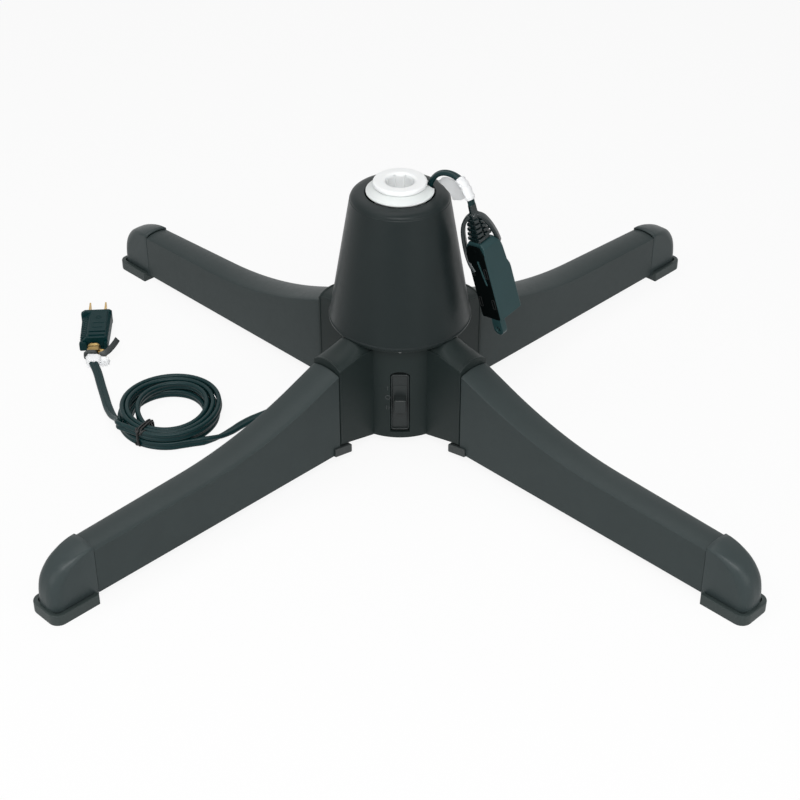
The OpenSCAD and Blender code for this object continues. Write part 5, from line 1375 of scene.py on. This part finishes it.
# %% Legs
LEG_START, LEG_END = 74.5, 291.8
LEG_WIDE, LEG_LOW = (26.4, 21.8), (9.1, 6.2)
SLOPE, SLOPE_OUT = math.radians(21), math.radians(1.9)
BEND_START, BEND_R = 100.0, 318.0
LEG_TOP, LEG_CROWN, LEG_WALL, LEG_CHAMFER, LEG_ACROSS = 75.8, 2.1, 2.2, 0.8, 10
CROWN_FROM, END_SOFT = 0.25, 0.25
BEND_END = BEND_START + BEND_R * (math.sin(SLOPE) - math.sin(SLOPE_OUT))
BEND_HIGH = LEG_TOP - math.tan(SLOPE) * (BEND_START - ARM_END)
BEND_LOW = BEND_HIGH - BEND_R * (math.cos(SLOPE_OUT) - math.cos(SLOPE))


def leg_edge(r):
    """The height of the top's side edge: a straight fall, an arc and an almost level end."""
    if r < BEND_START:
        return LEG_TOP - math.tan(SLOPE) * (r - ARM_END)
    if r > BEND_END:
        return BEND_LOW - math.tan(SLOPE_OUT) * (r - BEND_END)
    a = math.asin(math.sin(SLOPE) - (r - BEND_START) / BEND_R)
    return BEND_HIGH - BEND_R * (math.cos(a) - math.cos(SLOPE))


def down_leg(ends, r):
    """A measure that changes evenly from the hub's end of the leg to the foot's."""
    return ends[0] + (ends[1] - ends[0]) * (r - ARM_END) / (LEG_END - ARM_END)


def leg_outline(r, inset=0.0):
    """One section of a leg: up one side, over the crowned top and down the other."""
    half = down_leg(LEG_WIDE, r) / 2 - inset
    edge = leg_edge(r) - inset
    low = down_leg(LEG_LOW, r)
    side = [(-half, low), (-half, low + 5), (-half, (low + edge) / 2)]
    side += [(-half, edge + CROWN_FROM - LEG_CHAMFER), (-half + LEG_CHAMFER, edge + CROWN_FROM)]
    flat = half - LEG_CHAMFER
    top = []
    for k in range(1, LEG_ACROSS):
        w = -flat + 2 * flat * k / LEG_ACROSS
        top.append((w, edge + CROWN_FROM + (LEG_CROWN - CROWN_FROM) * (1 - (w / flat) ** 2)))
    return side + top + [(-w, z) for w, z in reversed(side)]


leg_stations = [LEG_START, LEG_START + 0.4, 80, 87, 94, BEND_START]
leg_stations += [BEND_START + (BEND_END - BEND_START) * k / 18 for k in range(1, 19)]
leg_stations += [BEND_END + (LEG_END - BEND_END) * k / 6 for k in range(1, 6)] + [LEG_END - 0.4, LEG_END]
for name, turn in LEG_TURNS.items():
    bm = bmesh.new()
    rings = []
    for r in leg_stations:
        less = END_SOFT if r in (LEG_START, LEG_END) else 0.0
        outer = [(w * (1 - less / 14), z - (less if z > 30 else 0)) for w, z in leg_outline(r)]
        rings.append(upright_ring(r, outer + leg_outline(r, inset=LEG_WALL)[::-1]))
    carry(bm, rings)
    spin_to(bm, turn)
    # Its finish, leg_black, is the stand's plastic painted lighter as light.
    piece(f"leg_shell_{name}", bm, "stand", "leg_black", [f"leg_{name}"], crisp=35)

# %% [markdown]
# ## End caps
# A cap closes each leg. At the seam its corners are as crisp as the leg's, and they grow round towards
# the nose, which rolls down to the pad. So the cap is a strip that follows its own silhouette with a
# corner radius that grows, and the flat sides fill the rest.

# %% End caps
CAP_LOW = 4.8
CAP_LINE = [
    # distance from the axis, height, lean of the surface
    (292.2, 43.8, 0), (296, 43.7, 2), (300, 43.3, 5), (304, 42.6, 9), (308, 41.5, 14),
    (312, 40.2, 20), (315, 38.9, 27), (317.6, 37.4, 34), (319.8, 35.6, 42), (321.7, 33.5, 50),
    (323.3, 31.1, 58), (324.6, 28.4, 65), (325.6, 25.5, 71), (326.3, 22.3, 76), (326.8, 19.0, 80),
    (327.1, 15.5, 83), (327.2, 11.5, 88), (327.2, 8.0, 90), (327.2, CAP_LOW, 90),
]
CAP_HALF, CAP_CROWN, CAP_WALL = 10.95, 1.9, 2.2
CAP_CORNER, CAP_GROWS, CAP_ROUND_BY = 1.2, 6.6, 9


def cap_rows():
    """Rows of points across the cap, one for each place on its silhouette."""
    rows = []
    for i, (r, z, tilt) in enumerate(CAP_LINE):
        t = min(1, i / CAP_ROUND_BY)
        radius = CAP_CORNER + CAP_GROWS * t * t * (3 - 2 * t)
        crown = CAP_CROWN * (1 - 0.75 * t)
        n = Vector((math.sin(math.radians(tilt)), 0, math.cos(math.radians(tilt))))
        middle = Vector((r, 0, z)) + n * crown
        row = []
        for k in range(8):
            a = math.radians(90 * k / 7)
            w = CAP_HALF - radius * (1 - math.cos(a))
            row.append((-w, crown * min(1, w / CAP_HALF) ** 2 + radius * (1 - math.sin(a))))
        flat = CAP_HALF - radius
        for k in range(1, 10):
            w = -flat + 2 * flat * k / 10
            row.append((w, crown * (w / CAP_HALF) ** 2))
        row += [(-w, d) for w, d in reversed(row[:8])]
        rows.append([middle - n * d + Vector((0, w, 0)) for w, d in row])
    for p in rows[0]:
        p.x = CAP_LINE[0][0]
    for p in rows[-1]:
        p.z = CAP_LOW
    return rows


def close_side(bm, edge_points):
    """Fills the cap's flat side: the vertices along its edge, and the lower corner at the seam."""
    edge = []
    for p in edge_points:
        near = min(bm.verts, key=lambda v: (v.co - p * MM).length)
        if near not in edge:
            edge.append(near)
    corner = bm.verts.new(Vector((CAP_LINE[0][0], edge_points[0].y, CAP_LOW)) * MM)
    bm.faces.new(edge + [corner])


for name, turn in LEG_TURNS.items():
    bm = bmesh.new()
    rows = cap_rows()
    carry(bm, [[p * MM for p in row] for row in rows], closed=False)
    for side in (0, -1):
        close_side(bm, [row[side] for row in rows])
    spin_to(bm, turn)
    # Its finish, cap_black, is the stand's plastic painted lighter as light.
    cap = piece(f"cap_shell_{name}", bm, "stand", "cap_black", [f"end_cap_{name}"], crisp=35)
    wall = cap.modifiers.new("wall", "SOLIDIFY")
    wall.thickness = CAP_WALL * MM
    wall.offset = -1
    cap.modifiers.move(1, 0)

# %% [markdown]
# ## Foot pads
# A soft tray under each cap, with a narrow ledge round it, rounded outer corners and a dark gap
# where the cap sits in it.

# %% Foot pads
PAD_START, PAD_END, PAD_HALF, PAD_H, PAD_CORNER = 294.5, 330.0, 14.8, 8.2, 7.5
PAD_ROWS = [
    # grown, height
    (-0.35, 0.0), (-0.1, 0.12), (0.0, 0.45), (0.0, PAD_H - 0.7), (-0.2, PAD_H - 0.2), (-0.7, PAD_H),
    (-1.4, PAD_H), (-3.2, PAD_H - 0.1), (-3.5, PAD_H - 0.5), (-3.5, 4.6),
]


def pad_outline(grow, z):
    """The pad's plan at a height: square at the leg and rounded at the nose."""
    back = PAD_START - min(0, grow + 0.6) * (0.4 if z > 3 else 0.1)
    nose, half, corner = PAD_END + grow, PAD_HALF + grow, PAD_CORNER + grow
    return rounded([(back, -half, 0.5), (nose, -half, corner), (nose, half, corner), (back, half, 0.5)], 8)


for name, turn in LEG_TURNS.items():
    bm = bmesh.new()
    carry(bm, [[Vector((x, y, z)) * MM for x, y in pad_outline(grow, z)] for grow, z in PAD_ROWS])
    spin_to(bm, turn)
    piece(f"pad_{name}", bm, "stand", "pad_black", [f"foot_pad_{name}"], crisp=40)

# %% [markdown]
# ## Sleeve and ring
# The turning parts are white nylon. The sleeve's skirt is a shallow dish with a gap where the outlet's
# cord comes up, and the ring that takes the pole stands on it, with ribs down its bore.

# %% Sleeve
SLEEVE_TOP, CUP_Z, CUP_R, TUBE_R, SKIRT_R = 196.3, 158.0, 18.0, 13.4, 24.2
NOTCH, NOTCH_HALF = 16.0, 12.6
sleeve_profile = rounded([
    (0, 37.3, 0), (TUBE_R, 37.3, 0.4), (TUBE_R, 104, 0.2), (21.6, 104, 0.3), (21.6, 106.5, 0.3),
    (TUBE_R, 106.5, 0.2), (TUBE_R, CUP_Z, 0.5), (CUP_R, CUP_Z, 0.8), (CUP_R, SLEEVE_TOP, 0.3),
    (15.5, SLEEVE_TOP, 0.2), (15.5, 160.5, 0.5),
    (10.2, 160.5, 0.3), (10.2, 41.3, 0.3), (0, 41.3, 0),
], 3)
skirt_profile = rounded([
    (17.6, 196.0, 0), (18.6, 195.75, 0.3), (22.6, 192.9, 2.0), (SKIRT_R, 192.15, 0.35), (SKIRT_R, 191.0, 0.3),
    (22.8, 191.2, 0.2), (17.6, 193.6, 0.3),
], 3)
bm = bmesh.new()
turn_profile(bm, sleeve_profile, steps=128)
turn_profile(bm, skirt_profile, steps=134, start=NOTCH + NOTCH_HALF, sweep=360 - 2 * NOTCH_HALF)
piece("sleeve_white", bm, "turning_head", "sleeve_white", ["turning_sleeve"], crisp=35)

# %% [markdown]
# ## Ring
# The ring that takes the pole is turned too. Its bore has eight grooves between low ribs, and they are
# made by moving points of the bore outwards.

# %% Ring
RING_R, RING_TOP, BORE_R = 19.25, 199.8, 9.8
GROOVE_APART, GROOVE_HALF, GROOVE_DEEP = 45, 0.95, 0.9
ring_profile = rounded([
    (15.45, 160.8, 0.3), (15.45, 196.3, 0), (18.5, 196.3, 0.2), (RING_R, 197.0, 0.6), (RING_R, RING_TOP, 1.5),
    (12.2, RING_TOP, 1.2), (BORE_R + 0.6, 199.1, 0.9), (BORE_R, 197.4, 1.0), (BORE_R, 192, 0),
    (BORE_R, 178, 0), (BORE_R, 160.8, 0.2),
], 4)
bm = bmesh.new()
turn_profile(bm, ring_profile, steps=192)
grooves = 0
for v in bm.verts:
    radius = v.co.xy.length / MM
    turned = math.degrees(math.atan2(v.co.y, v.co.x)) % GROOVE_APART
    off = math.radians(abs(turned - GROOVE_APART / 2)) * BORE_R
    if radius < BORE_R + 0.35 and off < GROOVE_HALF:
        v.co.xy *= (radius + GROOVE_DEEP) / radius
        grooves += 1
piece("pole_ring", bm, "turning_head", "ring_white", ["pole_adapter"], crisp=35)
print("groove points moved:", grooves)

# %% [markdown]
# ## View settings
# The standard view keeps each colour as its finish gives it.

# %% View settings
bpy.context.scene.view_settings.view_transform = "Standard"
